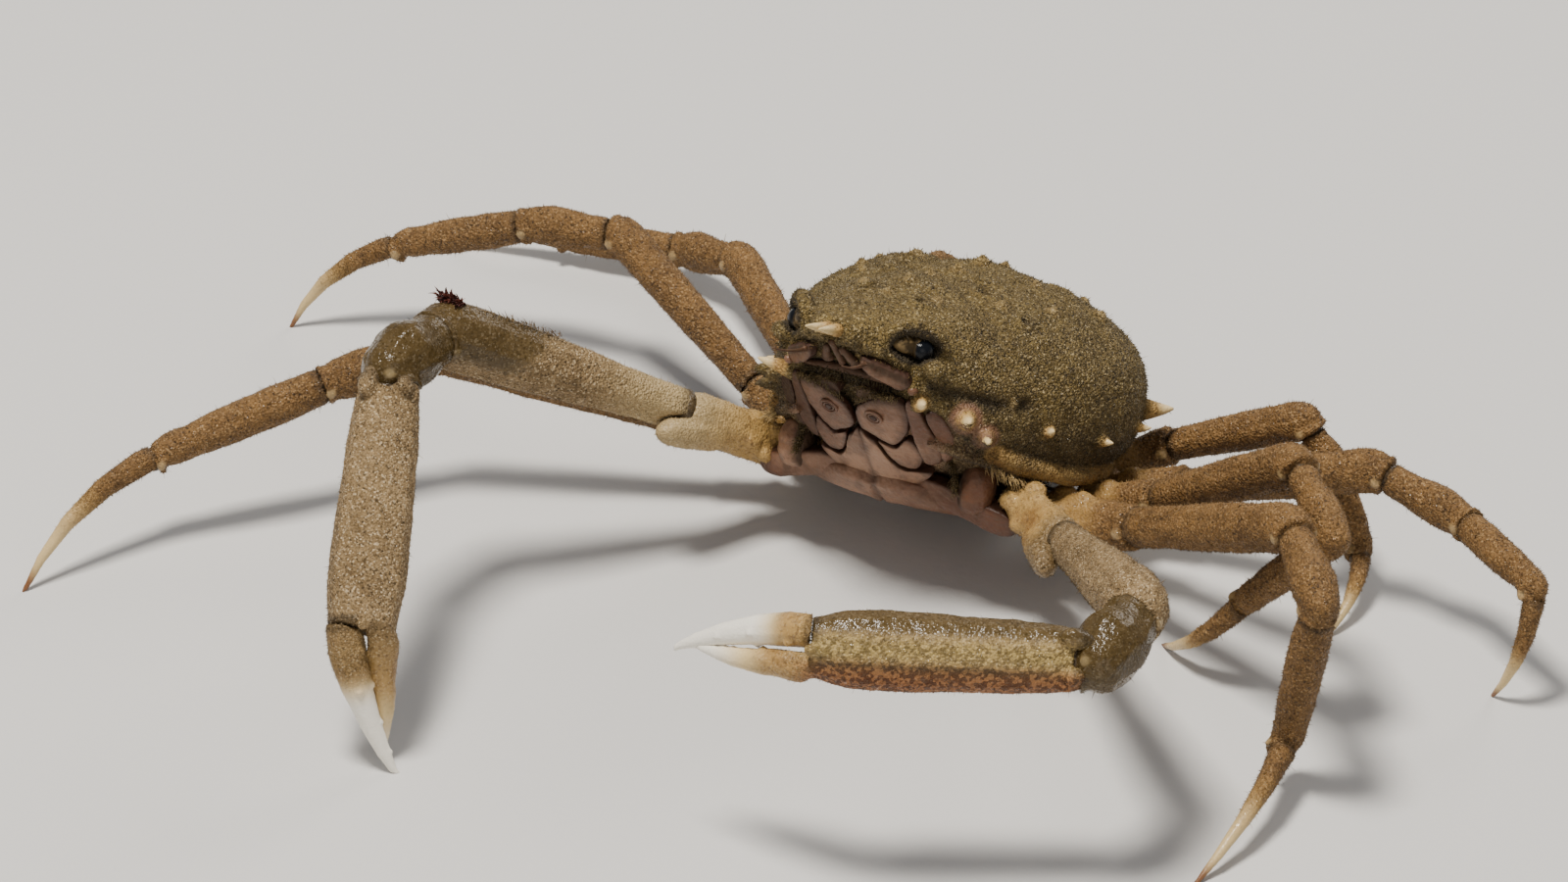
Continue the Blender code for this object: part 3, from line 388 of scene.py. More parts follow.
def section_point(place, angle):
    """A point of the shell in the body's frame: angle 0 is the crown and 90 the left margin."""
    width = smooth_value(SHELL_SECTIONS, place, 1)
    margin = smooth_value(SHELL_SECTIONS, place, 2)
    crown = smooth_value(SHELL_SECTIONS, place, 3)
    under = smooth_value(SHELL_SECTIONS, place, 4)
    s, c = sin(angle), cos(angle)
    power = CROWN_POWER if c >= 0 else FLANK_POWER
    x = width * abs(s) ** (2 / power) * (1 if s >= 0 else -1)
    reach = (crown - margin) if c >= 0 else (margin - under)
    z = margin + reach * abs(c) ** (2 / power) * (1 if c >= 0 else -1)
    if c > 0:
        for spot_x, spot_y, spread, height in SWELLINGS:
            away = sqrt((abs(x) - spot_x) ** 2 + (place - spot_y) ** 2)
            z += height * max(0.0, 1 - (away / spread) ** 2) ** 2 * c
    return Vector((x, place, z))


def surface_frame(place, angle):
    """A point of the shell and the way its surface faces there, in the body's frame."""
    step = 0.01
    along = section_point(place + step, angle) - section_point(place - step, angle)
    round_it = section_point(place, angle + step) - section_point(place, angle - step)
    outward = round_it.cross(along).normalized()
    point = section_point(place, angle)
    centre = Vector((0.0, place, smooth_value(SHELL_SECTIONS, place, 2)))
    if outward.dot(point - centre) < 0:
        outward.negate()
    return point, outward


class Wire:
    """A value in a material, on which Python's operators add Math nodes."""

    def __init__(self, paint, socket):
        self.paint, self.socket = paint, socket

    def maths(self, operation, *values):
        return self.paint.node("ShaderNodeMath", {"operation": operation}, dict(enumerate(values)))

    def __add__(self, other):
        return self.maths("ADD", self, other)

    def __radd__(self, other):
        return self.maths("ADD", other, self)

    def __sub__(self, other):
        return self.maths("SUBTRACT", self, other)

    def __rsub__(self, other):
        return self.maths("SUBTRACT", other, self)

    def __mul__(self, other):
        return self.maths("MULTIPLY", self, other)

    def __rmul__(self, other):
        return self.maths("MULTIPLY", other, self)


class Paint:
    """A material under making."""

    def __init__(self, name):
        self.material = bpy.data.materials.new(name)
        self.material.use_nodes = True
        self.tree = self.material.node_tree
        self.shader = self.tree.nodes["Principled BSDF"]
        self.place = self.node("ShaderNodeTexCoord", {}, {}, "Object")

    def feed(self, socket, value):
        """Set a socket to a number or a colour, or link it."""
        if isinstance(value, Wire):
            self.tree.links.new(value.socket, socket)
        else:
            socket.default_value = (*value, 1.0) if isinstance(value, tuple) else value

    def node(self, kind, settings, inputs, output=0):
        """Add a node of a type, with its settings set first and then its sockets' values or links."""
        made = self.tree.nodes.new(kind)
        for name, value in settings.items():
            setattr(made, name, value)
        for name, value in inputs.items():
            self.feed(made.inputs[name], value)
        return Wire(self, made.outputs[output])

    def noise(self, scale, detail):
        return self.node("ShaderNodeTexNoise", {}, {"Vector": self.place, "Scale": scale, "Detail": detail,
                                                    "Roughness": 0.55})

    def grains(self, scale, spread=1.0):
        return self.node("ShaderNodeTexVoronoi", {"feature": "F1"},
                         {"Vector": self.place, "Scale": scale, "Randomness": spread})

    def attribute(self, name):
        return self.node("ShaderNodeAttribute", {"attribute_name": name}, {}, "Fac")

    def ramp(self, value, low, high):
        """0 below low, 1 above high and a smooth rise between."""
        return self.node("ShaderNodeMapRange", {"interpolation_type": "SMOOTHSTEP"},
                         {"Value": value, "From Min": low, "From Max": high})

    def mix(self, factor, first, second):
        """A colour between two others, through the sockets that a Mix node has for colours."""
        return self.node("ShaderNodeMix", {"data_type": "RGBA"}, {0: factor, 6: first, 7: second}, 2)

    def grain_tone(self, scale):
        """A value of its own for each grain of a pattern."""
        cells = self.node("ShaderNodeTexVoronoi", {"feature": "F1"}, {"Vector": self.place, "Scale": scale}, "Color")
        return self.node("ShaderNodeSeparateColor", {}, {"Color": cells}, "Red")

    def fix(self, **values):
        """Set the shader's sockets, whose spaces are written as underscores."""
        for name, value in values.items():
            self.feed(self.shader.inputs[name.replace("_", " ")], value)

    def bump(self, height, distance, strength=1.0):
        self.fix(Normal=self.node("ShaderNodeBump", {}, {"Height": height, "Distance": distance,
                                                         "Strength": strength}, "Normal"))


def pick_nothing():
    if bpy.context.object and bpy.context.object.mode != "OBJECT":
        bpy.ops.object.mode_set(mode="OBJECT")
    bpy.ops.object.select_all(action="DESELECT")


def pick(*objects):
    """Select only these objects and make the first one active."""
    pick_nothing()
    for obj in objects:
        obj.select_set(True)
    bpy.context.view_layer.objects.active = objects[0]


def apply_change(obj, kind, **settings):
    """Add a modifier, set it and apply it."""
    pick(obj)
    change = obj.modifiers.new(kind.lower(), kind)
    for name, value in settings.items():
        setattr(change, name, value)
    bpy.ops.object.modifier_apply(modifier=change.name)


def hang(name, data):
    """An object of its own for a mesh or a curve."""
    obj = bpy.data.objects.new(name, data)
    bpy.context.scene.collection.objects.link(obj)
    return obj


def close_skin(obj, merge=None):
    """Turn a mesh's faces outwards, after its doubled points are merged."""
    pick(obj)
    bpy.ops.object.mode_set(mode="EDIT")
    bpy.ops.mesh.select_all(action="SELECT")
    if merge:
        bpy.ops.mesh.remove_doubles(threshold=merge)
    bpy.ops.mesh.normals_make_consistent(inside=False)
    bpy.ops.object.mode_set(mode="OBJECT")
    return obj


def copy_node(node, name):
    """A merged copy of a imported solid, on which a finished shell is made."""
    obj = hang(name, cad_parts[node].data.copy())
    obj.data.materials.clear()
    return close_skin(obj, 0.00001)


def knit(obj, size, rounds):
    """Turn a faceted shell into an even fine mesh and smooth the facets away."""
    apply_change(obj, "REMESH", mode="VOXEL", voxel_size=size * MM, use_smooth_shade=True)
    apply_change(obj, "SMOOTH", factor=0.5, iterations=rounds)


def roughen(obj, name, size, depth):
    """Push a fine mesh in and out by a cloud pattern."""
    cloud = bpy.data.textures.get(name) or bpy.data.textures.new(name, "CLOUDS")
    cloud.noise_scale = size * MM
    cloud.noise_depth = 2
    apply_change(obj, "DISPLACE", texture=cloud, texture_coords="LOCAL", strength=depth * MM, mid_level=0.5)


def points_of(obj):
    co = np.zeros(len(obj.data.vertices) * 3)
    obj.data.vertices.foreach_get("co", co)
    return co.reshape(-1, 3) / MM


def set_points(obj, points):
    obj.data.vertices.foreach_set("co", (points * MM).ravel())
    obj.data.update()


def mark(obj, name, values):
    """Write a number on each point of a mesh, or one on all, for its material to read."""
    layer = obj.data.attributes.get(name) or obj.data.attributes.new(name, "FLOAT", "POINT")
    values = np.broadcast_to(np.asarray(values, np.float32), (len(obj.data.vertices),))
    layer.data.foreach_set("value", values.copy())


def read_mark(obj, name):
    values = np.zeros(len(obj.data.vertices), np.float32)
    layer = obj.data.attributes.get(name)
    if layer:
        layer.data.foreach_get("value", values)
    return values


def join(name, pieces):
    """Make one object of several."""
    pick(*pieces)
    if len(pieces) > 1:
        bpy.ops.object.join()
    obj = bpy.context.view_layer.objects.active
    obj.name = name
    obj.data.name = name
    return obj


def finish_piece(obj, paint, nodes=()):
    """Shade, paint and hang a finished piece on the model."""
    pick(obj)
    bpy.ops.object.shade_smooth()
    obj.data.materials.clear()
    obj.data.materials.append(PAINTS[paint])
    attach(obj, "root")
    if nodes:
        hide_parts(*nodes)


def tube(name, points, radii, sides=3):
    """A closed tube through points, in millimetres, with a radius at each."""
    data = bpy.data.curves.new(name, "CURVE")
    data.dimensions = "3D"
    data.bevel_depth = MM
    data.bevel_resolution = sides
    data.use_fill_caps = True
    data.resolution_u = 5
    line = data.splines.new("NURBS")
    line.points.add(len(points) - 1)
    line.order_u = min(4, len(points))
    line.use_endpoint_u = True
    for spot, point, radius in zip(line.points, points, radii):
        spot.co = (*(point * MM), 1.0)
        spot.radius = radius
    pick(hang(name, data))
    bpy.ops.object.convert(target="MESH")
    return close_skin(bpy.context.object, 0.000001)


def ball(name, segments, rings):
    """A ball one metre in radius, to be shaped."""
    pick_nothing()
    bpy.ops.mesh.primitive_uv_sphere_add(segments=segments, ring_count=rings, radius=1.0)
    bpy.context.object.name = name
    return bpy.context.object


def pad(name, centre, axes, sizes, power=2.0, segments=20, rings=12):
    """A rounded lump: a ball stretched along three axes, boxier where its power is above 2."""
    obj = ball(name, segments, rings)
    for vert in obj.data.vertices:
        x, y, z = vert.co
        if power != 2.0:
            share = (abs(x) ** power + abs(y) ** power + abs(z) ** power) ** (-1 / power)
            x, y, z = x * share, y * share, z * share
        vert.co = (centre + axes[0] * x * sizes[0] + axes[1] * y * sizes[1] + axes[2] * z * sizes[2]) * MM
    return close_skin(obj)


def body_vector(x, y, z):
    """A direction in the body's frame, as it lies in the model."""
    return (BODY.to_3x3() @ Vector((x, y, z))).normalized()


def at_body(point, side=1):
    """A place given in the body's frame for the left side, on either side of the model."""
    return BODY @ Vector((side * point[0], point[1], point[2]))


def body_line(points, side=1):
    return [at_body(point, side) for point in points]


MARKS = ("wet", "ochre", "pale", "amber", "white", "smooth", "bare", "rust", "lime", "dark", "tip")


def mark_all(obj, **values):
    """Write every mark that the felt reads, nought where no value is given."""
    for name in MARKS:
        mark(obj, name, values.get(name, 0.0))


def normals_of(obj):
    ways = np.zeros(len(obj.data.vertices) * 3)
    obj.data.vertices.foreach_get("normal", ways)
    return ways.reshape(-1, 3)


def in_body(points):
    """Points of the model as they lie in the body's frame."""
    turn = np.array(BODY.to_3x3())
    return (points - np.array(BODY.translation)) @ turn


def bell(value, middle, spread):
    return np.exp(-((value - middle) / spread) ** 2)


def rise(value, low, high):
    x = np.clip((value - low) / (high - low), 0, 1)
    return x * x * (3 - 2 * x)


def far_from(points, line):
    """Distance of each point from a line through places."""
    best = np.full(len(points), 1e9)
    for first, second in zip(line, line[1:]):
        a, b = np.array(first), np.array(second)
        t = np.clip((points - a) @ (b - a) / ((b - a) @ (b - a)), 0, 1)
        best = np.minimum(best, np.linalg.norm(points - a - t[:, None] * (b - a), axis=1))
    return best


def mirrored(line, side):
    return [(side * x, y, z) for x, y, z in line]


def pits_of(local):
    """Each point's distance from each pit of the back, with the pit's radius."""
    return [(np.hypot(local[:, 0] - x, local[:, 1] - y), radius) for x, y, radius in PITS]


def body_pad(name, centre, sizes, side=1, power=2.0, segments=16, rings=10):
    """A lump whose axes are the body's own."""
    axes = [body_vector(*way) for way in ((1, 0, 0), (0, 1, 0), (0, 0, 1))]
    return pad(name, at_body(centre, side), axes, sizes, power, segments, rings)


def smooth_loop(outline, count):
    """A smooth closed curve through an outline, with a number of points to each corner."""
    made = []
    last = len(outline)
    for k in range(last):
        a, b, c, d = (Vector(outline[(k + i) % last]) for i in (-1, 0, 1, 2))
        for j in range(count):
            t = j / count
            made.append(0.5 * (2 * b + (c - a) * t + (2 * a - 5 * b + 4 * c - d) * t**2
                               + (3 * b - a - 3 * c + d) * t**3))
    return made


def plate(name, outline, centre, axes, thick, side=1, bend=0.0):
    """A domed plate with an outline, that falls back towards its side by a bend."""
    loop = smooth_loop(outline, 5)
    middle = sum(loop, Vector((0, 0))) / len(loop)
    obj = ball(name, len(loop), 14)
    rim = []
    for vert in obj.data.vertices:
        x, y, z = vert.co
        turn = round(np.arctan2(y, x) / (2 * pi) * len(loop)) % len(loop)
        across = sqrt(x * x + y * y) ** (2 / PLATE_POWER)
        height = abs(z) ** (2 / PLATE_POWER) * (1 if z >= 0 else -1)
        u, v = middle + (loop[turn] - middle) * across
        fall = bend * u * u
        vert.co = (centre + axes[0] * (side * u) + axes[1] * v + axes[2] * (height * thick - fall)) * MM
        rim.append(across)
    close_skin(obj)
    mark(obj, "seam", 0.6 * rise(np.array(rim), 0.72, 0.95) + 0.4 * rise(np.array(rim), 0.93, 1.0))
    apply_change(obj, "SUBSURF", levels=1)
    roughen(obj, "plate_dents", 1.5, 0.24)
    roughen(obj, "plate_pocks", 0.5, 0.07)
    return obj


def ring(name, centre, axes, sizes, radius, segments=28):
    """A closed ring with its own two half widths."""
    pick_nothing()
    bpy.ops.mesh.primitive_torus_add(major_segments=segments, minor_segments=8, major_radius=1.0, minor_radius=0.25)
    obj = bpy.context.object
    obj.name = name
    for vert in obj.data.vertices:
        x, y, z = vert.co
        away = sqrt(x * x + y * y)
        c, s = x / away, y / away
        out = (away - 1) * 4 * radius
        vert.co = (centre + axes[0] * c * (sizes[0] + out) + axes[1] * s * (sizes[1] + out)
                   + axes[2] * z * 4 * radius) * MM
    return obj


def spikes(name, roots, ways, leans, reach, wide, stand, rings=1, unwrap=None):
    """Many closed tapering spikes as one mesh, that stand up from their roots and then lean over."""
    count = len(roots)
    side = np.cross(ways, leans)
    reach, wide, stand = (np.broadcast_to(np.asarray(value, float), (count,))[:, None]
                          for value in (reach, wide, stand))
    rows = []
    for j in range(rings):
        s = j / rings
        middle = roots - ways * ROOT_DEPTH * (j == 0) + reach * (ways * stand * s + leans * (1 - stand) * s * s)
        w = wide * (1 - TAPER * s)
        rows += [middle + side * w, middle - side * w, middle - leans * w]
    rows.append(roots + reach * (ways * stand + leans * (1 - stand)))
    size = len(rows)
    points = np.stack(rows, axis=1).reshape(-1, 3)
    faces = [(0, 1, 2)]
    for j in range(rings - 1):
        for a, b in ((0, 2), (2, 1), (1, 0)):
            a, b = a + 3 * j, b + 3 * j
            faces += [(a, b, b + 3), (a, b + 3, a + 3)]
    top = 3 * (rings - 1)
    faces += [(top + a, top + b, size - 1) for a, b in ((0, 2), (2, 1), (1, 0))]
    faces = np.array(faces)
    every = (faces[None] + (np.arange(count) * size)[:, None, None]).reshape(-1, 3)
    data = bpy.data.meshes.new(name)
    data.from_pydata(points * MM, [], every)
    if unwrap is None:
        unwrap = np.stack([np.linspace(0.02, 0.98, count), np.full(count, 0.5)], axis=1)
    turn = np.arange(size) * 2.4
    patch = np.stack([np.cos(turn), np.sin(turn)], axis=1) * UV_PATCH
    spread = (unwrap[:, None, None, :] + patch[faces][None]).reshape(-1, 2)
    layer = data.uv_layers.new(name="OFBake")
    layer.data.foreach_set("uv", spread.ravel())
    return hang(name, data)


def coat(name, skin, share, reach, wide, lie, unwrap, keep, rings=1, stand=(0.35, 0.8), seed=0):
    """Tufts of short felt over a skin, each lying the way of the coat and marked like its root."""
    rng = np.random.default_rng(SEED + seed)
    points, ways = points_of(skin), normals_of(skin)
    chosen = np.nonzero(rng.random(len(points)) < share * keep)[0]
    count = len(chosen)
    n = ways[chosen]
    lean = lie[chosen] + rng.normal(0, 0.4, (count, 3))
    lean -= n * (lean * n).sum(axis=1)[:, None]
    lean /= np.linalg.norm(lean, axis=1)[:, None] + 1e-9
    made = spikes(name, points[chosen], n, lean, reach * rng.uniform(0.55, 1.35, count),
                  wide * rng.uniform(0.7, 1.3, count), rng.uniform(*stand, count), rings, unwrap[chosen])
    size = 3 * rings + 1
    for finish in MARKS:
        mark(made, finish, np.repeat(read_mark(skin, finish)[chosen], size))
    mark(made, "tip", np.arange(count * size) % size == size - 1)
    return made


def fringe(name, line, count, way, lean, reach, wide, seed, **marks):
    """Bristles rooted along a line."""
    rng = np.random.default_rng(SEED + seed)
    stops = np.array([list(point) for point in line])
    t = rng.uniform(0, len(line) - 1.001, count)
    k = t.astype(int)
    roots = stops[k] + (stops[k + 1] - stops[k]) * (t - k)[:, None] + rng.normal(0, 0.18, (count, 3))
    ways = np.array(way) + rng.normal(0, 0.22, (count, 3))
    ways /= np.linalg.norm(ways, axis=1)[:, None]
    leans = np.array(lean) + rng.normal(0, 0.3, (count, 3))
    leans -= ways * (leans * ways).sum(axis=1)[:, None]
    leans /= np.linalg.norm(leans, axis=1)[:, None]
    made = spikes(name, roots, ways, leans, reach * rng.uniform(0.5, 1.2, count), wide,
                  rng.uniform(0.4, 0.8, count), BRISTLE_RINGS)
    mark_all(made, **marks)
    return made


def horn_spine(root, way, length, radius, bend):
    """A spine with a broad foot and a point that turns up a little, ochre at its foot."""
    way = way.normalized()
    up = body_vector(0, 0, 1)
    up = (up - way * up.dot(way)).normalized() if abs(way.dot(up)) < 0.95 else Vector((0, 0, 0))
    points, radii = [], []
    for t, share in ((-0.25, 1.35), (0.0, 1.12), (0.3, 0.86), (0.62, 0.58), (0.88, 0.3), (1.0, 0.12)):
        points.append(root + way * length * t + up * bend * max(t, 0) ** 2)
        radii.append(radius * share)
    obj = tube("spine", points, radii)
    t = (points_of(obj) - np.array(root)) @ np.array(way) / length
    mark_all(obj, ochre=(1 - rise(t, 0.45, 0.8)) * rise(t, -0.1, 0.2), pale=rise(t, 0.35, 0.75),
             smooth=rise(t, 0.2, 0.5))
    return obj


PAINTS = {}


def make_felt_paint(name, dark, light, fleck, flecks, horn, gloss, relief, film):
    """Felted shell in broad patches and grains, which turns to other finishes where it is marked so."""
    paint = Paint(name)
    ramp, noise, mix, tone, share = paint.ramp, paint.noise, paint.mix, paint.grain_tone, paint.attribute
    grain, tiny = tone(3800), tone(5200)
    patches = ramp(noise(70, 3), 0.36, 0.66) * 0.25 + ramp(noise(420, 3), 0.33, 0.68) * 0.3
    colour = mix(patches + grain * 0.5, dark, light)
    colour = mix(ramp(grain, 0.12, 0.0) * 0.7, colour, tuple(value * 0.3 for value in dark))
    colour = mix(ramp(tiny, 0.25, 0.0) * 0.5, colour, tuple(value * 0.4 for value in dark))
    colour = mix(ramp(tiny, 0.80, 0.97) * flecks, colour, fleck)
    stain = ramp(noise(160, 4), 0.50, 0.72)
    flesh = mix(ramp(noise(60, 2), 0.35, 0.65), (0.24, 0.12, 0.07), (0.42, 0.26, 0.17))
    flesh = mix(stain * 0.6, flesh, (0.12, 0.045, 0.02))
    speck = ramp(tone(2600), 0.35, 0.75)
    rust = mix(speck, (0.075, 0.018, 0.005), (0.29, 0.115, 0.04))
    lichen = mix(speck, (0.15, 0.105, 0.028), (0.42, 0.30, 0.10))
    gold = mix(stain, (0.44, 0.27, 0.085), (0.22, 0.105, 0.025))
    gold = mix(ramp(tone(3000), 0.3, 0.0) * 0.6, gold, (0.10, 0.045, 0.012))
    wet, white, smooth, bare = (share(name) for name in ("wet", "white", "smooth", "bare"))
    # The dark mark mixes in near black: on the shell it is painted shade, on limbs and bristles their own dark joints
    # and colour.
    for amount, finish in ((bare, flesh), (share("rust"), rust), (share("lime"), lichen),
                           (wet * 0.85, (0.034, 0.021, 0.004)), (share("ochre"), gold), (share("pale"), horn),
                           (share("amber"), (0.15, 0.045, 0.012)), (white, (0.84, 0.80, 0.70)),
                           (share("dark") * 0.9, (0.020, 0.014, 0.008)), (share("tip") * 0.18, fleck)):
        colour = mix(amount, colour, finish)
    sparkle = ramp(tone(4300), 0.84, 0.92)
    rough = gloss - sparkle * 0.50 - wet * 0.52 - bare * 0.25 - smooth * (gloss - 0.36) - white * 0.14
    rough = paint.node("ShaderNodeClamp", {}, {"Value": rough, "Min": 0.12, "Max": 1.0})
    height = ((1 - paint.grains(3300)) * 0.7 + noise(1400, 4) * 0.5) * (1 - smooth * 0.85) * (1 - bare * 0.6)
    paint.fix(Base_Color=colour, Roughness=rough, IOR=film)
    paint.bump(height * (1 - wet * 0.85) + wet * noise(900, 3) * 0.9, relief)
    return paint.material


def make_under_paint():
    paint = Paint("under_shell")
    ramp, noise, share = paint.ramp, paint.noise, paint.attribute
    colour = paint.mix(ramp(noise(60, 2), 0.35, 0.65), (0.105, 0.041, 0.019), (0.275, 0.152, 0.089))
    for amount, finish in ((share("fair") * 0.6, (0.38, 0.225, 0.14)),
                           (ramp(noise(190, 4), 0.50, 0.70) * 0.7, (0.085, 0.032, 0.014)),
                           (ramp(noise(420, 5), 0.46, 0.62) * 0.55, (0.085, 0.040, 0.019)),
                           # Darker where hairy, and on the right's exopod and cheek as painted shade of the hollow by
                           # the claw's root.
                           (share("hairy_and_shaded"), (0.032, 0.016, 0.006)),
                           (ramp(noise(1500, 2), 0.62, 0.70) * 0.4, (0.10, 0.04, 0.022)),
                           (share("seam"), (0.040, 0.015, 0.007))):
        colour = paint.mix(amount, colour, finish)
    paint.fix(Base_Color=colour, Roughness=0.30 + noise(300, 3) * 0.3 + share("hairy_and_shaded") * 0.3, IOR=1.4,
              Subsurface_Weight=0.06, Subsurface_Scale=0.001)
    paint.bump(noise(700, 4) + paint.grains(1600) * 0.3, 0.0003, 0.9)
    return paint.material


def make_eye_paint():
    paint = Paint("eye_glass")
    cornea = paint.attribute("cornea")
    stalk = paint.mix(paint.ramp(paint.noise(900, 3), 0.4, 0.6), (0.035, 0.022, 0.008), (0.15, 0.10, 0.042))
    paint.fix(Base_Color=paint.mix(cornea, stalk, (0.004, 0.005, 0.007)), Roughness=0.5 - cornea * 0.38, IOR=1.28)
    paint.bump(paint.grains(9000, 0.2) * cornea * 0.2 + paint.noise(1500, 3) * (1 - cornea), 0.00012, 0.6)
    return paint.material


def make_plain_paint(name, colour, second, rough, scale):
    """A finish in two tones, or in one where they are the same."""
    paint = Paint(name)
    if second != colour:
        colour = paint.mix(paint.ramp(paint.noise(scale, 3), 0.35, 0.65), colour, second)
    paint.fix(Base_Color=colour, Roughness=rough + paint.noise(scale * 2, 2) * 0.1)
    paint.bump(paint.noise(scale * 1.7, 3), 0.0001, 0.6)
    return paint.material


def make_paints(colours):
    horn = tuple(colours.horn)
    for name, tones, flecks, gloss, relief, film in (
            ("shell", (tuple(colours.shell_dark), tuple(colours.shell_light), (0.46, 0.36, 0.19)), 0.6, 0.78,
             0.0005, 1.42),
            ("leg", ((0.075, 0.036, 0.009), (0.235, 0.125, 0.038), (0.48, 0.31, 0.14)), 0.4, 0.74, 0.00026, 1.42),
            ("claw", ((0.115, 0.070, 0.027), (0.33, 0.225, 0.11), (0.62, 0.49, 0.31)), 0.6, 0.68, 0.0003, 1.33)):
        PAINTS[name] = make_felt_paint(name + "_felt", *tones, flecks, horn, gloss, relief, film)
    PAINTS["under"] = make_under_paint()
    PAINTS["eye"] = make_eye_paint()
    PAINTS["alga"] = make_plain_paint("alga_red", (0.045, 0.012, 0.010), (0.15, 0.035, 0.02), 0.35, 900)


class CrabColours(bpy.types.PropertyGroup):
    """Colours of the shell of the back and of its horn."""

    shell_dark: bpy.props.FloatVectorProperty(
        name="Shell dark", description="Darker tone of the felt on the back", subtype="COLOR",
        default=(0.054, 0.034, 0.008), min=0.0, max=1.0)
    shell_light: bpy.props.FloatVectorProperty(
        name="Shell light", description="Lighter tone of the felt on the back", subtype="COLOR",
        default=(0.21, 0.143, 0.042), min=0.0, max=1.0)
    horn: bpy.props.FloatVectorProperty(
        name="Horn", description="Bare horn of the spines and the tips", subtype="COLOR",
        default=(0.66, 0.50, 0.25), min=0.0, max=1.0)


class CrabSizes(bpy.types.PropertyGroup):
    """Fineness of the meshes and of the felt."""

    shell_grain: bpy.props.FloatProperty(
        name="Shell mesh", description="Size of the shell's finest faces", default=0.34 * MM,
        subtype="DISTANCE", unit="LENGTH", min=0.1 * MM)
    limb_grain: bpy.props.FloatProperty(
        name="Limb mesh", description="Size of the limbs' finest faces", default=0.3 * MM,
        subtype="DISTANCE", unit="LENGTH", min=0.1 * MM)
    felt_length: bpy.props.FloatProperty(
        name="Felt length", description="Length of the short felt on the back", default=0.42 * MM,
        subtype="DISTANCE", unit="LENGTH", min=0.1 * MM)
    felt_share: bpy.props.FloatProperty(
        name="Felt cover", description="Share of the mesh's points that bear a tuft of felt", default=0.5,
        min=0.0, max=1.0)


class CRAB_OT_stage(bpy.types.Operator):
    """Lay the floor and set the lights and the camera."""

    bl_idname = "crab.stage"
    bl_label = "Stage"

    def execute(self, context):
        pick_nothing()
        bpy.ops.mesh.primitive_plane_add(size=FLOOR_SIZE, location=(0, 0, 0))
        floor = context.object
        floor.name = "floor"
        floor.data.materials.append(make_plain_paint("floor_pale", FLOOR_TONE, FLOOR_TONE, 0.8, 500))
        a, e = radians(VIEW_AZIMUTH), radians(VIEW_ELEVATION)
        back = Vector((sin(a) * cos(e), -cos(a) * cos(e), sin(e)))
        right = Vector((cos(a), sin(a), 0.0))
        up = back.cross(right)
        bpy.ops.object.camera_add()
        camera = context.object
        camera.name = "view"
        turn = Matrix((right, up, back)).transposed().to_4x4()
        place = back * VIEW_DISTANCE + right * VIEW_SIDE + up * VIEW_RISE + SHIFT
        camera.matrix_world = Matrix.Translation(place * MM) @ turn
        camera.data.lens = VIEW_LENS
        camera.data.sensor_width = VIEW_SENSOR
        camera.data.clip_start, camera.data.clip_end = VIEW_CLIP
        context.scene.camera = camera
        for name, size, power, place in LAMPS:
            bpy.ops.object.light_add(type="AREA", location=place)
            lamp = context.object
            lamp.name = name
            lamp.data.size = size
            lamp.data.energy = power
            lamp.data.color = LAMP_TONE
            lamp.rotation_euler = (-Vector(place)).to_track_quat("-Z", "Y").to_euler()
        world = bpy.data.worlds.new("studio")
        world.use_nodes = True
        sky = world.node_tree.nodes["Background"].inputs
        sky["Color"].default_value = SKY_TONE
        sky["Strength"].default_value = SKY_STRENGTH
        context.scene.world = world
        return {"FINISHED"}


def eye_axes(side):
    """Axes of an eye: along its stalk, out of the shell and upwards."""
    along = body_vector(side * EYE_ALONG[0], *EYE_ALONG[1:])
    out = body_vector(side * EYE_OUT[0], *EYE_OUT[1:])
    out = (out - along * out.dot(along)).normalized()
    up = along.cross(out)
    return along, out, up if up.z > 0 else -up


def angle_at(x, place):
    """Angle of a section at which its upper half reaches a width."""
    width = smooth_value(SHELL_SECTIONS, place, 1)
    return asin(min(1.0, x / width) ** (CROWN_POWER / 2))


def shell_spines():
    """Spines of the shell in the body's frame: root, way, length, root radius and upward bend."""
    made = [(Vector(root), Vector(way), length, radius, 0.2) for root, way, length, radius in CHEEK_SPINES]
    for place, height, radius in MIDDLE_SPINES:
        point, outward = surface_frame(place, 0.0)
        made.append((point, outward + Vector((0, -0.15, 0)), height, radius, 0.0))
    for side in (1, -1):
        for x, place, height, radius in BACK_SPINES:
            made.append((*surface_frame(place, side * angle_at(x, place)), height, radius, 0.0))
        for place, angle, length, radius in MARGIN_SPINES:
            point, outward = surface_frame(place, side * radians(angle))
            forward = Vector((0.0, -0.35 if place < 0 else 0.1, 0.12))
            worn = 0.45 if side < 0 and place < -13 else 1
            made.append((point, outward + forward, length * worn, radius, 0.25))
        root = Vector(mirrored([ROSTRUM_ROOT], side)[0])
        made.append((root, Vector((side * 0.07, -1.0, 0.04)), *ROSTRUM_SPINE, 0.3))
    return made


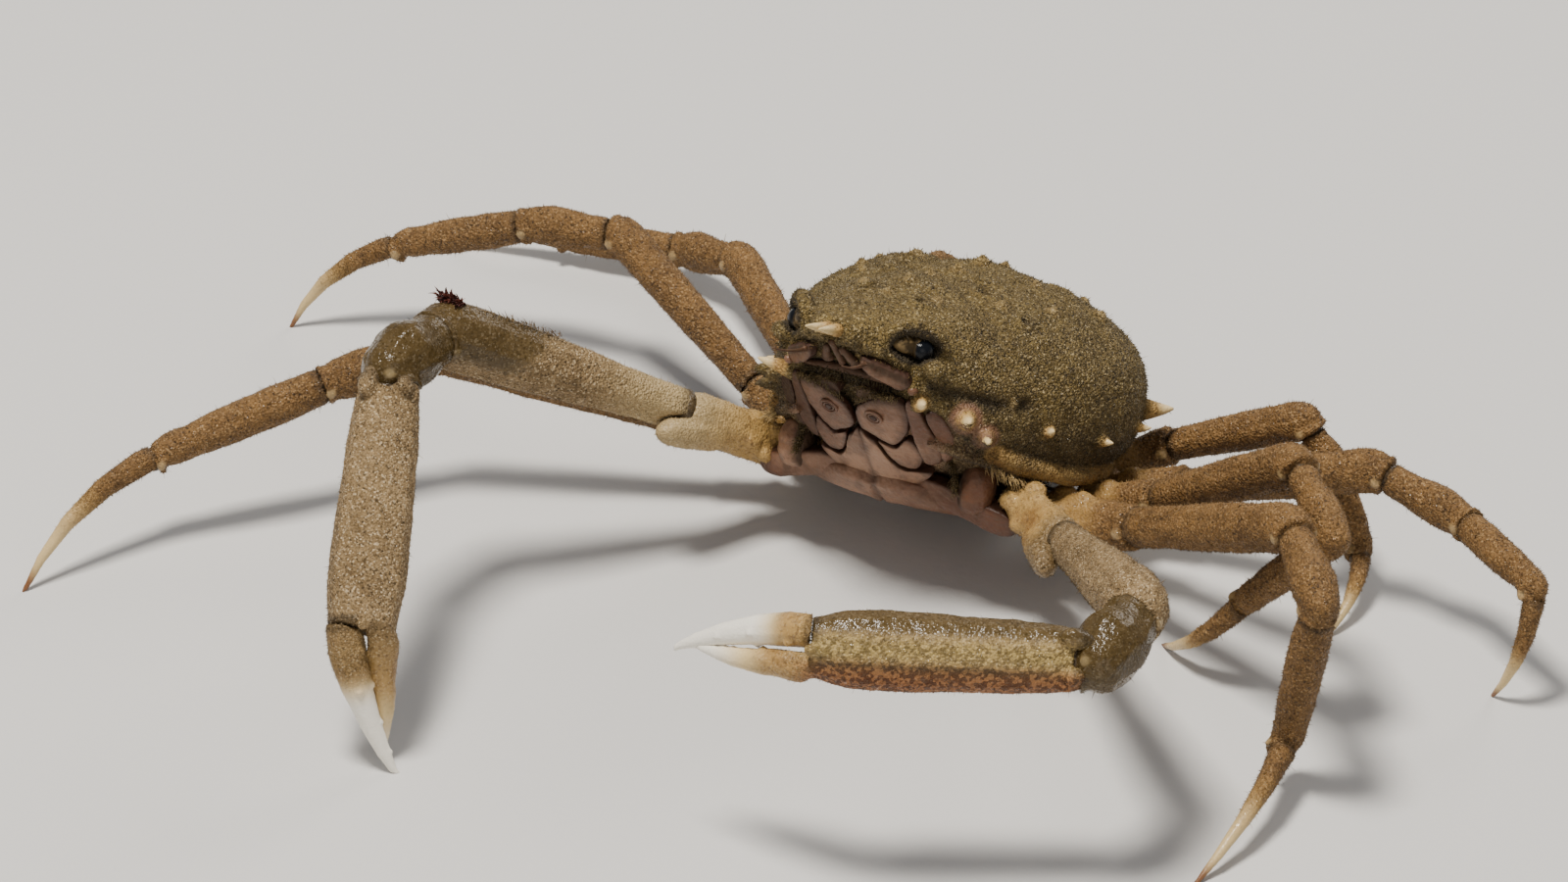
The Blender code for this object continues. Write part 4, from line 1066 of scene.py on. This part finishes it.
class CRAB_OT_shell(bpy.types.Operator):
    """Make the shell of the back with its hollows, brows, spines and felt."""

    bl_idname = "crab.shell"
    bl_label = "Shell"

    def execute(self, context):
        sizes = context.scene.crab_sizes
        shell = copy_node("carapace", "shell")
        self.hollow(shell)
        shell = join("shell", [shell] + self.lumps())
        knit(shell, sizes.shell_grain / MM, 4)
        local = in_body(points_of(shell))
        self.sculpt(shell, local)
        roughen(shell, "shell_lumps", 3.2, 0.35)
        roughen(shell, "shell_grains", 0.65, 0.24)
        spines = self.paint(shell, local)
        self.cover(shell, local, sizes)
        finish_piece(join("shell", [shell] + spines), "shell", ["carapace"])
        return {"FINISHED"}

    def hollow(self, shell):
        """Cut out the mouth and the eyes' sockets, and take off the ends of the solids' brow and spines."""
        tools = [body_pad("mouth", *MOUTH_HOLLOW, segments=32, rings=16), body_pad("nose_end", *NOSE_CUT, power=8.0)]
        for side in (1, -1):
            centre, sizes = EYE_HOLLOW
            tools.append(pad("socket", at_body(centre, side), eye_axes(side), sizes, 2.0, 24, 14))
            tools += [body_pad("cut", *place, side) for place in (NOSE_HOLLOW, BROW_CUT, SPINE_CUT)]
        for tool in tools + [body_pad("cut", *place) for place in WORN_CUTS]:
            apply_change(shell, "BOOLEAN", operation="DIFFERENCE", solver="EXACT", object=tool)
            bpy.data.objects.remove(tool)

    def lumps(self):
        made = []
        for side in (1, -1):
            made += [body_pad("lump", *place, side) for place in FACE_LUMPS]
            made += [tube(name, body_line(line, side), radii, sides) for name, line, radii, sides in SHELL_LINES]
        return made

    def sculpt(self, shell, local):
        """Press the furrows, the grooves and the pits into the shell, and raise its low spines."""
        x, y = np.abs(local[:, 0]), local[:, 1]
        above = rise(local[:, 2], 4.0, 7.0)
        depth = 0.6 * bell(y, -4.2 + 0.03 * x * x, 1.0) * rise(9.5 - x, 0, 3) * above
        depth += 0.55 * bell(x, 6.2 + 0.05 * (y - 4) ** 2, 1.0) * rise(y, -4, -1) * rise(13 - y, 0, 4) * above
        depth += 0.5 * bell(y, -8.5 - 0.35 * (x - 5), 1.1) * rise(x, 4, 6) * rise(16 - x, 0, 4) * above
        for side in (1, -1):
            depth += 0.7 * bell(far_from(local, mirrored(CHEEK_GROOVE, side)), 0, 0.9)
        for away, radius in pits_of(local):
            depth += 1.3 * radius * bell(away, 0, radius) * above
            depth -= 0.35 * bell(away, radius * 1.7, 0.45) * above
        for root, _, length, radius, _ in shell_spines():
            if length <= LOW_SPINE:
                depth -= 0.35 * bell(np.linalg.norm(local - np.array(root), axis=1), 0, radius * 0.7)
        set_points(shell, points_of(shell) - normals_of(shell) * depth[:, None])

    def paint(self, shell, local):
        """Mark the shell's bare, ochre, dark and pale places, the dark ones mostly painted shade, and return its horn
        spines.
        """
        x, y, z = np.abs(local[:, 0]), local[:, 1], local[:, 2]
        edge = np.interp(y, (-24, -21.2, -19.8, -17.3, -14.7, -9.7, -6), (2.2, 0.2, -1.6, -2.6, -4.2, -6.8, -8.2))
        edge = edge + np.random.default_rng(SEED).normal(0, 0.25, len(edge))
        behind = rise(x + 0.6 * y, -1.5, 2.5)
        bare = (1 - rise(z, edge - 0.5, edge + 0.4)) * (0.75 - 0.55 * behind)
        ochre = 0.8 * (1 - rise(far_from(np.stack([x, y, z], 1), FLANK_RIDGE), 0.9, 1.6))
        # Painted shade, darker towards the bottom of the shell.
        dark = 0.62 * rise(-z, -1.5, 5.0) * (1 - ochre)
        # Painted shade under the shell's sides behind the face, below the bare edge.
        dark = np.maximum(dark * (1 - bare), 0.5 * (z < edge) * behind * (1 - ochre))
        for side in (1, -1):
            # Painted shade in the groove under the cheek, just under the cheek fold and in the eye socket.
            dark += 0.9 * bell(far_from(local, mirrored(CHEEK_GROOVE, side)), 0, 1.0)
            fold = [(px, py, pz - 1.0) for px, py, pz in mirrored(CHEEK_FOLD, side)]
            dark += 0.8 * bell(far_from(local, fold), 0, 0.45)
            centre, half = EYE_HOLLOW
            away = points_of(shell) - np.array(at_body(centre, side))
            away = away @ np.array([list(way) for way in eye_axes(side)]).T / np.array(half)
            dark += 0.95 * (1 - rise((away ** 2).sum(axis=1), 1.0, 1.45))
        for away, radius in pits_of(local):
            # Painted shade in the pits of the back.
            dark += 1.2 * bell(away, 0, radius) * (z > 5)
        # Painted shade in the mouth's hollow.
        centre, sizes = MOUTH_HOLLOW
        inside = (((local - np.array(centre)) / np.array(sizes)) ** 2).sum(axis=1)
        dark += 1.0 * (1 - rise(inside, 1.0, 1.7))
        # A darker band of felt just above the bare edge at the front.
        dark += 0.55 * bell(z - edge, 0.6, 0.5) * rise(-12 - y, 0, 3)
        # Darker patches on the front's lower band between rostrum and eyes: partly painted shade under the rostrum and
        # brows, partly debris.
        patchy = 0.5 + 0.5 * np.sin(2.3 * x + 1.7 * z) * np.sin(2.1 * y - 1.3 * z + 0.6 * local[:, 0])
        dark += 0.75 * patchy * rise(-22.0 - y, 0, 2.0) * bell(z, 5.2, 1.5)
        # Painted shade along the middle of the face under the front.
        dark += 0.8 * rise(4.5 - x, 0, 1.5) * (y < -13) * (z < edge)
        spines, pale = [], np.zeros(len(local))
        for root, way, length, radius, bend in shell_spines():
            away = np.linalg.norm(local - np.array(root), axis=1)
            low = length <= LOW_SPINE
            if low:
                pale = np.maximum(pale, 0.22 * bell(away, 0.2, radius * 0.5))
            else:
                spines.append(horn_spine(BODY @ root, BODY.to_3x3() @ way, length + 0.3, radius * 0.92, bend))
            ochre = np.maximum(ochre, (0.15 if low else 0.55) * (1 - rise(away, radius * 0.8, radius * 1.5)))
            if root.x > 0 and -18 < root.y < -13 and root.z < 3:
                bare = np.maximum(bare, 0.85 * (1 - rise(away, radius * 1.5, radius * 2.1)))
            dark *= 1 - 0.7 * bell(away, 0, radius * 1.5)
        mark_all(shell, bare=bare, ochre=np.clip(ochre, 0, 1), dark=np.clip(dark, 0, 1), pale=pale)
        return spines

    def cover(self, shell, local, sizes):
        """Lay the felt and the sparse bristles over the shell, which fall back and down from its middle."""
        x, y, z = local.T
        lie = np.stack([x * 0.03, np.full(len(x), 0.7), np.full(len(x), -0.35)], 1) @ np.array(BODY.to_3x3()).T
        unwrap = np.stack([0.5 + 0.48 * np.arctan2(x, z - 1) / pi, np.clip((y + 34) / 60, 0.01, 0.99)], 1)
        keep = (1 - read_mark(shell, "bare")) * (0.4 + 0.6 * rise(z, -8, 0))
        for away, radius in pits_of(local):
            keep *= 1 - 0.95 * bell(away, 0, radius) * (z > 5)
        tufts = sizes.felt_share, sizes.felt_length / MM, SHELL_TUFT_WIDTH
        finish_piece(coat("shell_coat", shell, *tufts, lie, unwrap, keep), "shell")
        bristles = coat("shell_setae", shell, *SHELL_BRISTLES, lie, unwrap, keep, BRISTLE_RINGS, (0.5, 0.9), 5)
        finish_piece(bristles, "shell")


class CRAB_OT_eyes(bpy.types.Operator):
    """Make the eyes on their stalks."""

    bl_idname = "crab.eyes"
    bl_label = "Eyes"

    def execute(self, context):
        for side_name, side in SIDES:
            axes = eye_axes(side)
            middle = at_body(EYE_BALL[0], side)
            globe = pad("eye_ball", middle, axes, EYE_BALL[1], segments=36, rings=24)
            away = points_of(globe) - np.array(middle)
            mark(globe, "cornea", rise(away @ np.array(axes[0]) + 0.8 * (away @ np.array(axes[1])), -0.75, -0.35))
            middle = at_body(EYE_STALK[0], side)
            stalk = pad("eye_stalk", middle, axes, EYE_STALK[1], segments=24, rings=16)
            lift, half = EYE_COLLAR
            collar = pad("eye_collar", middle + axes[0] + axes[2] * lift, axes, half, segments=24, rings=14)
            for piece in (stalk, collar):
                mark(piece, "cornea", 0.0)
            finish_piece(join("eye_%s_ball" % side_name, [globe, stalk, collar]), "eye", ["eye_" + side_name])
        return {"FINISHED"}


def face_axes():
    """Axes of the slanted face: to the crab's left, down the face and out of it."""
    left, down = body_vector(1, 0, 0), body_vector(*FACE_DOWN)
    return left, down, body_vector(0, FACE_DOWN[2], -FACE_DOWN[1])


def plate_axes(along, out, side):
    """Axes of a plate: along it, across it on the upper side, and the way that it faces."""
    u = body_vector(side * along[0], *along[1:])
    n = body_vector(side * out[0], *out[1:])
    n = (n - u * n.dot(u)).normalized()
    v = n.cross(u)
    return u, -v if v.dot(body_vector(0, 0, 1)) < 0 else v, n


class CRAB_OT_face(bpy.types.Operator):
    """Make the plates and feelers of the face."""

    bl_idname = "crab.face"
    bl_label = "Face"

    def execute(self, context):
        for side_name, side in SIDES:
            self.make_mouth(side_name, side)
            self.make_antenna(side_name, side)
            centre, along, out, thick, outline = CLAW_STRIP
            axes = plate_axes(along, out, side)
            strip = plate("claw_strip_" + side_name, outline, at_body(centre, side), axes, thick)
            finish_piece(strip, "under")
        self.make_epistome()
        pieces = []
        for side in (1, -1):
            for count, reach, wide, seed, way, lean, marks, line in FRINGES:
                way, lean = (body_vector(side * x, y, z) for x, y, z in (way, lean))
                pieces.append(fringe("setae", body_line(line, side), count, way, lean, reach, wide, seed, **marks))
        finish_piece(join("face_setae", pieces), "shell")
        return {"FINISHED"}

    def make_mouth(self, side_name, side):
        """The plates over one half of the mouth, with the ringed pit of the uppermost."""
        axes = left, down, out = face_axes()
        middle = at_body(FACE_MIDDLE)
        pieces = []
        for name, thick, sink, fair, hairy_and_shaded, outline in MOUTH_PLATES:
            piece = plate(name, outline, middle - out * sink, axes, thick, side, FACE_BEND)
            fall = (points_of(piece) - np.array(middle)) @ np.array(down)
            # The merus is hairy on its upper part; on the right the exopod and cheek keep their mark, which darkens
            # them as painted shade of the hollow by the claw's root.
            if name == "merus":
                hairy_and_shaded = 0.75 * (1 - rise(fall, -3.6, -1.4))
            elif side > 0 and name != "palp":
                hairy_and_shaded = 0.0
            mark(piece, "hairy_and_shaded", hairy_and_shaded)
            mark(piece, "fair", fair)
            pieces.append(piece)
        x, s, radius = MOUTH_PIT
        spot = middle + left * side * x + down * s + out * (0.62 - FACE_BEND * x * x)
        for share, thick, shade in ((1.0, 0.2, 0.1), (0.62, 0.16, 0.45)):
            pieces.append(ring("pit_rim", spot, axes, (radius * share, radius * share * 0.95), thick, 24))
            mark(pieces[-1], "seam", shade)
        pieces.append(pad("pit", spot + out * 0.04, axes, (0.4, 0.36, 0.18)))
        mark(pieces[-1], "seam", 1.0)
        mouth = join("maxilliped_%s_plates" % side_name, pieces)
        finish_piece(mouth, "under", ["maxilliped_" + side_name])

    def make_antenna(self, side_name, side):
        """A feeler with its base plate."""
        centre, along, out, thick, outline = ANTENNA_PLATE
        axes = plate_axes(along, out, side)
        middle = at_body(centre, side)
        base = plate("antenna_base", outline, middle, axes, thick)
        roughen(base, "antenna_lumps", 0.8, 0.3)
        height = (points_of(base) - np.array(middle)) @ np.array(axes[1])
        mark(base, "hairy_and_shaded", 0.2 + 0.65 * rise(height, -0.35, 0.5))
        knob = body_pad("antenna_knob", *ANTENNA_KNOB, side)
        x, y, z = ANTENNA_ROOT
        outward, ahead, down, lift = ANTENNA_REACH
        line = [at_body((x + outward * sin(t * pi / 2), y - ahead * t, z - down * t + lift * t * t), side)
                for t in (k / 6 for k in range(7))]
        stems = [tube("antenna_whip", line, ANTENNA_RADII)]
        for t, radius in ANTENNA_JOINTS:
            stems.append(pad("antenna_joint", line[0].lerp(line[-1], t), face_axes(), (radius, radius * 0.9, radius)))
        for stem in stems:
            mark(stem, "hairy_and_shaded", 0.6)
        finish_piece(join("antenna_%s_parts" % side_name, [base, knob] + stems), "under",
                     ["antenna_" + side_name])

    def make_epistome(self):
        """The feelers folded under the front, the ridge over the mouth and the folds of skin beside it."""
        pieces, folds = [], []
        for side in (1, -1):
            pieces.append(tube("antennule", body_line(FEELER_LINE, side), (0.55, 0.5, 0.38, 0.26, 0.18)))
            pieces.append(body_pad("antennule_foot", *FEELER_FOOT, side))
        pieces.append(tube("septum", body_line(SEPTUM_LINE), (0.4, 0.35, 0.45)))
        pieces.append(tube("epistome", body_line(MOUTH_RIDGE), (0.35, 0.5, 0.55, 0.5, 0.35)))
        for piece in pieces:
            mark(piece, "hairy_and_shaded", 0.65)
        for side in (1, -1):
            fold = body_pad("side_fold", *SIDE_FOLD, side, 2.2, 48, 32)
            roughen(fold, "fold_lumps", 2.6, 0.7)
            roughen(fold, "fold_dents", 0.9, 0.25)
            mark(fold, "fair", 0.45 if side < 0 else 0.15)
            mark(fold, "hairy_and_shaded", 0.85 * (1 - rise(side * in_body(points_of(fold))[:, 0], 10.8, 11.9)))
            folds.append(fold)
        finish_piece(join("epistome", pieces + folds), "under")


class CRAB_OT_underside(bpy.types.Operator):
    """Make the breastplate and the folded tail."""

    bl_idname = "crab.underside"
    bl_label = "Underside"

    def execute(self, context):
        for node in ("sternum", "abdomen"):
            piece = copy_node(node, node + "_shell")
            knit(piece, 0.28, 6)
            x, y = in_body(points_of(piece)).T[:2]
            if node == "sternum":
                x = np.abs(x)
                groove = sum(bell(y - 0.35 * (x - 4) - place, 0, 0.45) * rise(x, 3.0, 4.5) for place in BREAST_SEAMS)
                groove = groove + 0.8 * bell(x, 0.0, 0.5) * (y < -4)
            else:
                groove = sum(bell(y, place, 0.4) for place in TAIL_SEAMS)
            set_points(piece, points_of(piece) - normals_of(piece) * (0.4 * groove)[:, None])
            mark(piece, "seam", np.clip(groove, 0, 1) * 0.8)
            finish_piece(piece, "under", [node])
        return {"FINISHED"}


class Limb:
    """A leg or a claw under making, with the places of its joints and the axes of its segments."""

    def __init__(self, kind, side_name):
        self.kind, self.side_name = kind, side_name
        self.claw, self.left = kind == "claw", side_name == "L"
        self.joints = limb_joints(kind, side_name)
        self.frames = limb_frames(kind, self.joints)

    def places(self, points, k):
        """How far along a segment each point lies, towards its upper side, and across it."""
        along, across, upper = (np.array(way) for way in self.frames[k])
        away = points - np.array(self.joints[k])
        return (away @ along) / (self.joints[k + 1] - self.joints[k]).length, away @ upper, away @ across

    def make(self, sizes):
        shells, coats, nodes = [], [], []
        paint = "claw" if self.claw else "leg"
        for k, part in enumerate(PARTS_OF_CLAW if self.claw else PARTS_OF_LEG):
            nodes.append("%s_%s_%s" % (self.kind, self.side_name, part))
            shell, knobs = self.make_shell(nodes[-1], part, k, sizes.limb_grain / MM)
            points = points_of(shell)
            t, up, across = self.places(points, k)
            marks = self.marks_of(part, points, t, up, knobs)
            mark_all(shell, **marks)
            turn = 0.5 + 0.48 * np.arctan2(across, up) / pi
            unwrap = np.stack([turn, (k + 0.04 + 0.92 * np.clip(t, 0, 1.6) / 1.6) / 5], 1)
            lie = np.broadcast_to(np.array(self.frames[k][0]), points.shape)
            keep = (1 - np.clip(marks["smooth"], 0, 1)) * (1 - 0.85 * np.clip(marks["wet"], 0, 1))
            coats.append(coat("felt", shell, sizes.felt_share, FELT_REACH[paint], LIMB_TUFT_WIDTH, lie, unwrap, keep,
                              seed=k))
            coats.append(coat("setae", shell, *LIMB_BRISTLES, lie, unwrap, keep, BRISTLE_RINGS, (0.5, 0.85), 20 + k))
            shells.append(shell)
            if k < (3 if self.claw else 4):
                shells.append(self.joint_skin(k))
        name = "%s_%s_" % (self.kind, self.side_name)
        finish_piece(join(name + "shell", shells), paint, nodes)
        finish_piece(join(name + "coat", coats), paint)

    def make_shell(self, node, part, k, grain):
        """A segment's shell with what stands out of it, and the places of its joint's knobs."""
        shell = copy_node(node, node + "_shell")
        extras, knobs = [], []
        if k < 4 and part != "palm" and (k > 0 or not self.claw):
            extras, knobs = self.joint_rim(k)
        if k == 0:
            extras += self.root_lumps()
        if self.claw and k > 2:
            extras += self.teeth(shell, k)
        if part == "palm":
            extras += self.hinges()
        shell = join(node + "_shell", [shell] + extras)
        knit(shell, grain * (0.8 if k == 4 else 1.0), 4 if k < 4 else 3)
        self.shape(shell, part, k)
        if k < 4:
            roughen(shell, "limb_lumps", 2.6, 0.24)
            roughen(shell, "limb_grains", 0.7, 0.1)
        if part == "palm":
            self.swing_finger(shell)
        return shell, knobs

    def swing_finger(self, shell):
        """Swing the palm's own finger towards the moving one and behind it."""
        lift, behind = FINGER_SWING[self.side_name]
        points = points_of(shell)
        t = self.places(points, 3)[0]
        share = (0.55 * rise(t, 1.0, 1.15) + 0.45 * rise(t, 1.1, 1.5))[:, None]
        points = points + share * (np.array(self.frames[3][2]) * lift - np.array(way_of(*PALM_FACE)) * behind)
        points[:, 2] = np.maximum(points[:, 2], 0.0)
        set_points(shell, points)

    def root_lumps(self):
        """Swellings of the short segment at a limb's root."""
        along, across, upper = self.frames[0]
        high, wide = THICKNESS[self.kind][0]
        return [pad("lump", self.joints[0] + along * reach + upper * up * high + across * front * wide,
                    (along, across, upper), (size * 1.1, size * 0.9, size * 0.8))
                for reach, up, front, size in ROOT_LUMPS]

    def hinges(self):
        """Knobs of a palm at its wrist and at the joint of its finger."""
        axes = along, across, upper = self.frames[3]
        return [pad("hinge", self.joints[joint] + along * reach + upper * up + across * front, axes, size)
                for joint, reach, up, front, size in PALM_HINGES]

    def teeth(self, shell, k):
        """Low teeth along the inner edge of a finger."""
        points = points_of(shell)
        t, up = self.places(points, 3)[:2]
        made = []
        for step in range(TEETH):
            place = FIRST_TOOTH + TOOTH_STEP * step
            near = np.nonzero((np.abs(t - place) < 0.03) & ((up < 0.4) | (k == 4)))[0]
            if not len(near):
                continue
            best = near[np.argmin(up[near])] if k == 4 else near[np.argmax(up[near])]
            size = 0.5 - 0.025 * step
            centre = Vector(points[best]) + self.frames[3][2] * (0.1 if k == 4 else -0.1)
            made.append(pad("tooth", centre, self.frames[3], (size, size * 0.75, size), 2.0, 10, 8))
        return made

    def joint_size(self, k):
        """Radius of a segment's rounded far end and half height and half width of the next one's neck."""
        high, wide = THICKNESS[self.kind][k]
        next_high, next_wide = THICKNESS[self.kind][k + 1]
        return (high + wide) / 2 * END_SHARE, next_high * NECK_SHARE + NECK_GAP, next_wide * NECK_SHARE + NECK_GAP

    def joint_rim(self, k):
        """The raised rim and the two knobs where the next segment leaves a segment."""
        cap, high, wide = self.joint_size(k)
        along, across, upper = self.frames[k + 1]
        lift = sqrt(max(cap * cap - max(high, wide) ** 2, 0.2))
        centre = self.joints[k + 1] + along * (lift - 0.1)
        knobs = [centre + across * way * (wide + 0.35) - along * 0.1 for way in (1, -1)]
        rims = [ring("rim", centre, (across, upper, along), (wide + 0.25, high + 0.25), 0.36)]
        return rims + [pad("knob", spot, (along, across, upper), (0.7, 0.4, 0.55)) for spot in knobs], knobs

    def joint_skin(self, k):
        """The dark soft skin that shows in the gap of a joint."""
        cap, high, wide = self.joint_size(k)
        skin = pad("skin", self.joints[k + 1] + self.frames[k + 1][0] * cap * 0.72, self.frames[k + 1],
                   (cap * 0.55, wide * 0.86, high * 0.86))
        mark_all(skin, dark=0.75, smooth=0.6, wet=0.4)
        return skin

    def shape(self, shell, part, k):
        """Swell and pinch a segment along its length and square it a little."""
        if part == "dactyl":
            return
        points = points_of(shell)
        t, up, across = self.places(points, k)
        away = np.hypot(up, across) + 1e-6
        swell = 0.03 * np.cos(4 * np.arctan2(across, up)) * bell(t, 0.55, 0.45) * (part not in ("palm", "finger"))
        swell = swell + sum(height * bell(t, middle, spread) for height, middle, spread in SWELLS.get(part, ()))
        if part == "finger" and not self.left:
            swell = swell + 0.12 * rise(0.65 - t, 0.0, 0.5)
        if part == "palm":
            swell = swell - 0.3 * (1 - rise(t, -0.03, 0.15)) - (0.14 if self.left else 0.0) * bell(t, 1.0, 0.07)
        if part == "carpus":
            swell = swell + 0.10 * bell(t, 0.72, 0.18) * rise(up / away, 0.0, 0.9)
            swell = swell - 0.05 * bell(np.abs(across / away), 0.5, 0.14) * bell(t, 0.6, 0.3) * (up > 0)
        shift = (swell * (1 - rise(t, 0.98, 1.04)))[:, None]
        set_points(shell, points + (np.outer(up, self.frames[k][2]) + np.outer(across, self.frames[k][1])) * shift)

    def marks_of(self, part, points, t, up, knobs):
        """How the points of a segment are finished, as marks for the felt."""
        marks = dict.fromkeys(("pale", "smooth", "dark", "ochre", "wet"), np.zeros(len(t)))
        if part == "base":
            marks.update(ochre=0.5 * (1 - rise(t, 0.45, 0.8)), smooth=0.5 * (1 - rise(t, 0.5, 0.9)))
        else:
            start = np.percentile(t, 2)
            marks["dark"] = 0.6 * (1 - rise(t, start, start + 0.05))
        if part == "base" and self.claw:
            marks.update(ochre=0.75 * (1 - rise(t, 0.7, 1.1)), pale=(0.0 if self.left else 0.35) * rise(t, 0.3, 0.9),
                         wet=0.25 + 0 * t, smooth=0.3 + 0 * t)
        if part == "dactyl":
            marks.update(pale=rise(t, 0.42, 0.75) * 0.75, ochre=rise(t, 0.25, 0.6) * 0.6,
                         amber=rise(t, 0.84, 0.95) * 0.9, smooth=rise(t, 0.4, 0.7))
        if part == "finger":
            late = 0.1 if self.left else 0.22
            marks.update(ochre=(1 - rise(t, late + 0.05, late + 0.22)) * (0.7 if self.left else 0.3),
                         rust=0.35 * bell(t, late + 0.12, 0.07), pale=rise(t, late + 0.02, late + 0.2),
                         white=rise(t, late + 0.1, late + 0.3),
                         smooth=rise(t, -0.05, 0.12) if self.left else rise(t, 0.15, 0.4))
        if part == "palm":
            marks.update(ochre=rise(t, 0.97, 1.12) * 0.6, rust=0.3 * bell(t, 1.2, 0.05), pale=rise(t, 1.14, 1.26),
                         white=rise(t, 1.22, 1.36) * 0.95, smooth=rise(t, 0.98, 1.15),
                         dark=marks["dark"] + 0.75 * bell(t, 0.99, 0.012) * rise(up, 0.2, 0.8))
        if part == "palm" and self.left:
            rest = 1 - marks["smooth"]
            marks.update(lime=0.75 * bell(up, 0.2, 1.8) * rest, wet=0.85 * rise(up, 1.4, 2.6) * rest,
                         rust=0.85 * (1 - rise(up, -2.0, -0.6)) * rest,
                         dark=marks["dark"] + 0.55 * bell(up, -1.7, 0.3) * rise(t, 0.15, 0.4) * (t < 0.98),
                         smooth=np.maximum(marks["smooth"], 0.35))
        if part == "carpus" and self.claw:
            marks.update(wet=0.95 + 0 * t, smooth=0.15 + 0 * t)
        if part == "merus" and self.claw and not self.left:
            marks.update(wet=0.9 * rise(t + 0.02 * up, 0.68, 0.76) * rise(up, -2.2, 0.0),
                         pale=0.45 * (1 - rise(t, 0.1, 0.5)))
        for spot in knobs:
            near = 1 - rise(np.linalg.norm(points - np.array(spot), axis=1), 0.45, 0.8)
            marks["pale"] = np.maximum(marks["pale"], near * (0.2 if self.claw else 0.3))
            marks["smooth"] = np.maximum(marks["smooth"], near)
            marks["dark"] = marks["dark"] * (1 - near)
        return marks


class CRAB_OT_limbs(bpy.types.Operator):
    """Make the legs and the claws, segment by segment, with their joints and felt."""

    bl_idname = "crab.limbs"
    bl_label = "Limbs"

    def execute(self, context):
        for kind in LIMB_SITES:
            for side_name in ("L", "R"):
                Limb(kind, side_name).make(context.scene.crab_sizes)
        self.make_growth()
        return {"FINISHED"}

    def make_growth(self):
        """The tuft of red alga and the bristles on the right claw's elbow."""
        claw = Limb("claw", "R")
        top = [claw.joints[1].lerp(claw.joints[2], t) + claw.frames[1][2] * 4.1 for t in (0.6, 0.7, 0.8, 0.9)]
        alga = [SHIFT + Vector(point) for point in ALGA_LINE]
        for name, line, count, reach, wide, paint in (
                ("alga_tuft", alga, 260, 2.3, 0.2, "alga"), ("claw_R_bristles", top, 110, 1.9, 0.05, "claw")):
            tuft = fringe(name, line, count, Vector((-0.1, -0.35, 0.93)), Vector((0.5, -0.8, -0.3)), reach, wide, 41,
                          ochre=0.4, smooth=0.5)
            finish_piece(tuft, paint)


class CRAB_PT_panel(bpy.types.Panel):
    """Lists the model's steps and its sizes and colours."""

    bl_idname = "CRAB_PT_panel"
    bl_label = "Spider crab"
    bl_space_type = "VIEW_3D"
    bl_region_type = "UI"
    bl_category = "Crab"

    def draw(self, context):
        layout = self.layout
        for group in (context.scene.crab_colours, context.scene.crab_sizes):
            for name in group.__annotations__:
                layout.prop(group, name)
        for step in STEPS:
            layout.operator("crab." + step)


STEPS = ("stage", "shell", "eyes", "face", "underside", "limbs")
CLASSES = (CrabColours, CrabSizes, CRAB_OT_stage, CRAB_OT_shell, CRAB_OT_eyes, CRAB_OT_face, CRAB_OT_underside,
           CRAB_OT_limbs, CRAB_PT_panel)


def register():
    for made in CLASSES:
        bpy.utils.register_class(made)
    bpy.types.Scene.crab_colours = bpy.props.PointerProperty(type=CrabColours)
    bpy.types.Scene.crab_sizes = bpy.props.PointerProperty(type=CrabSizes)


def unregister():
    del bpy.types.Scene.crab_sizes
    del bpy.types.Scene.crab_colours
    for made in reversed(CLASSES):
        bpy.utils.unregister_class(made)


def main():
    register()
    make_paints(bpy.context.scene.crab_colours)
    for step in STEPS:
        getattr(bpy.ops.crab, step)()


if __name__ == "__main__":
    main()
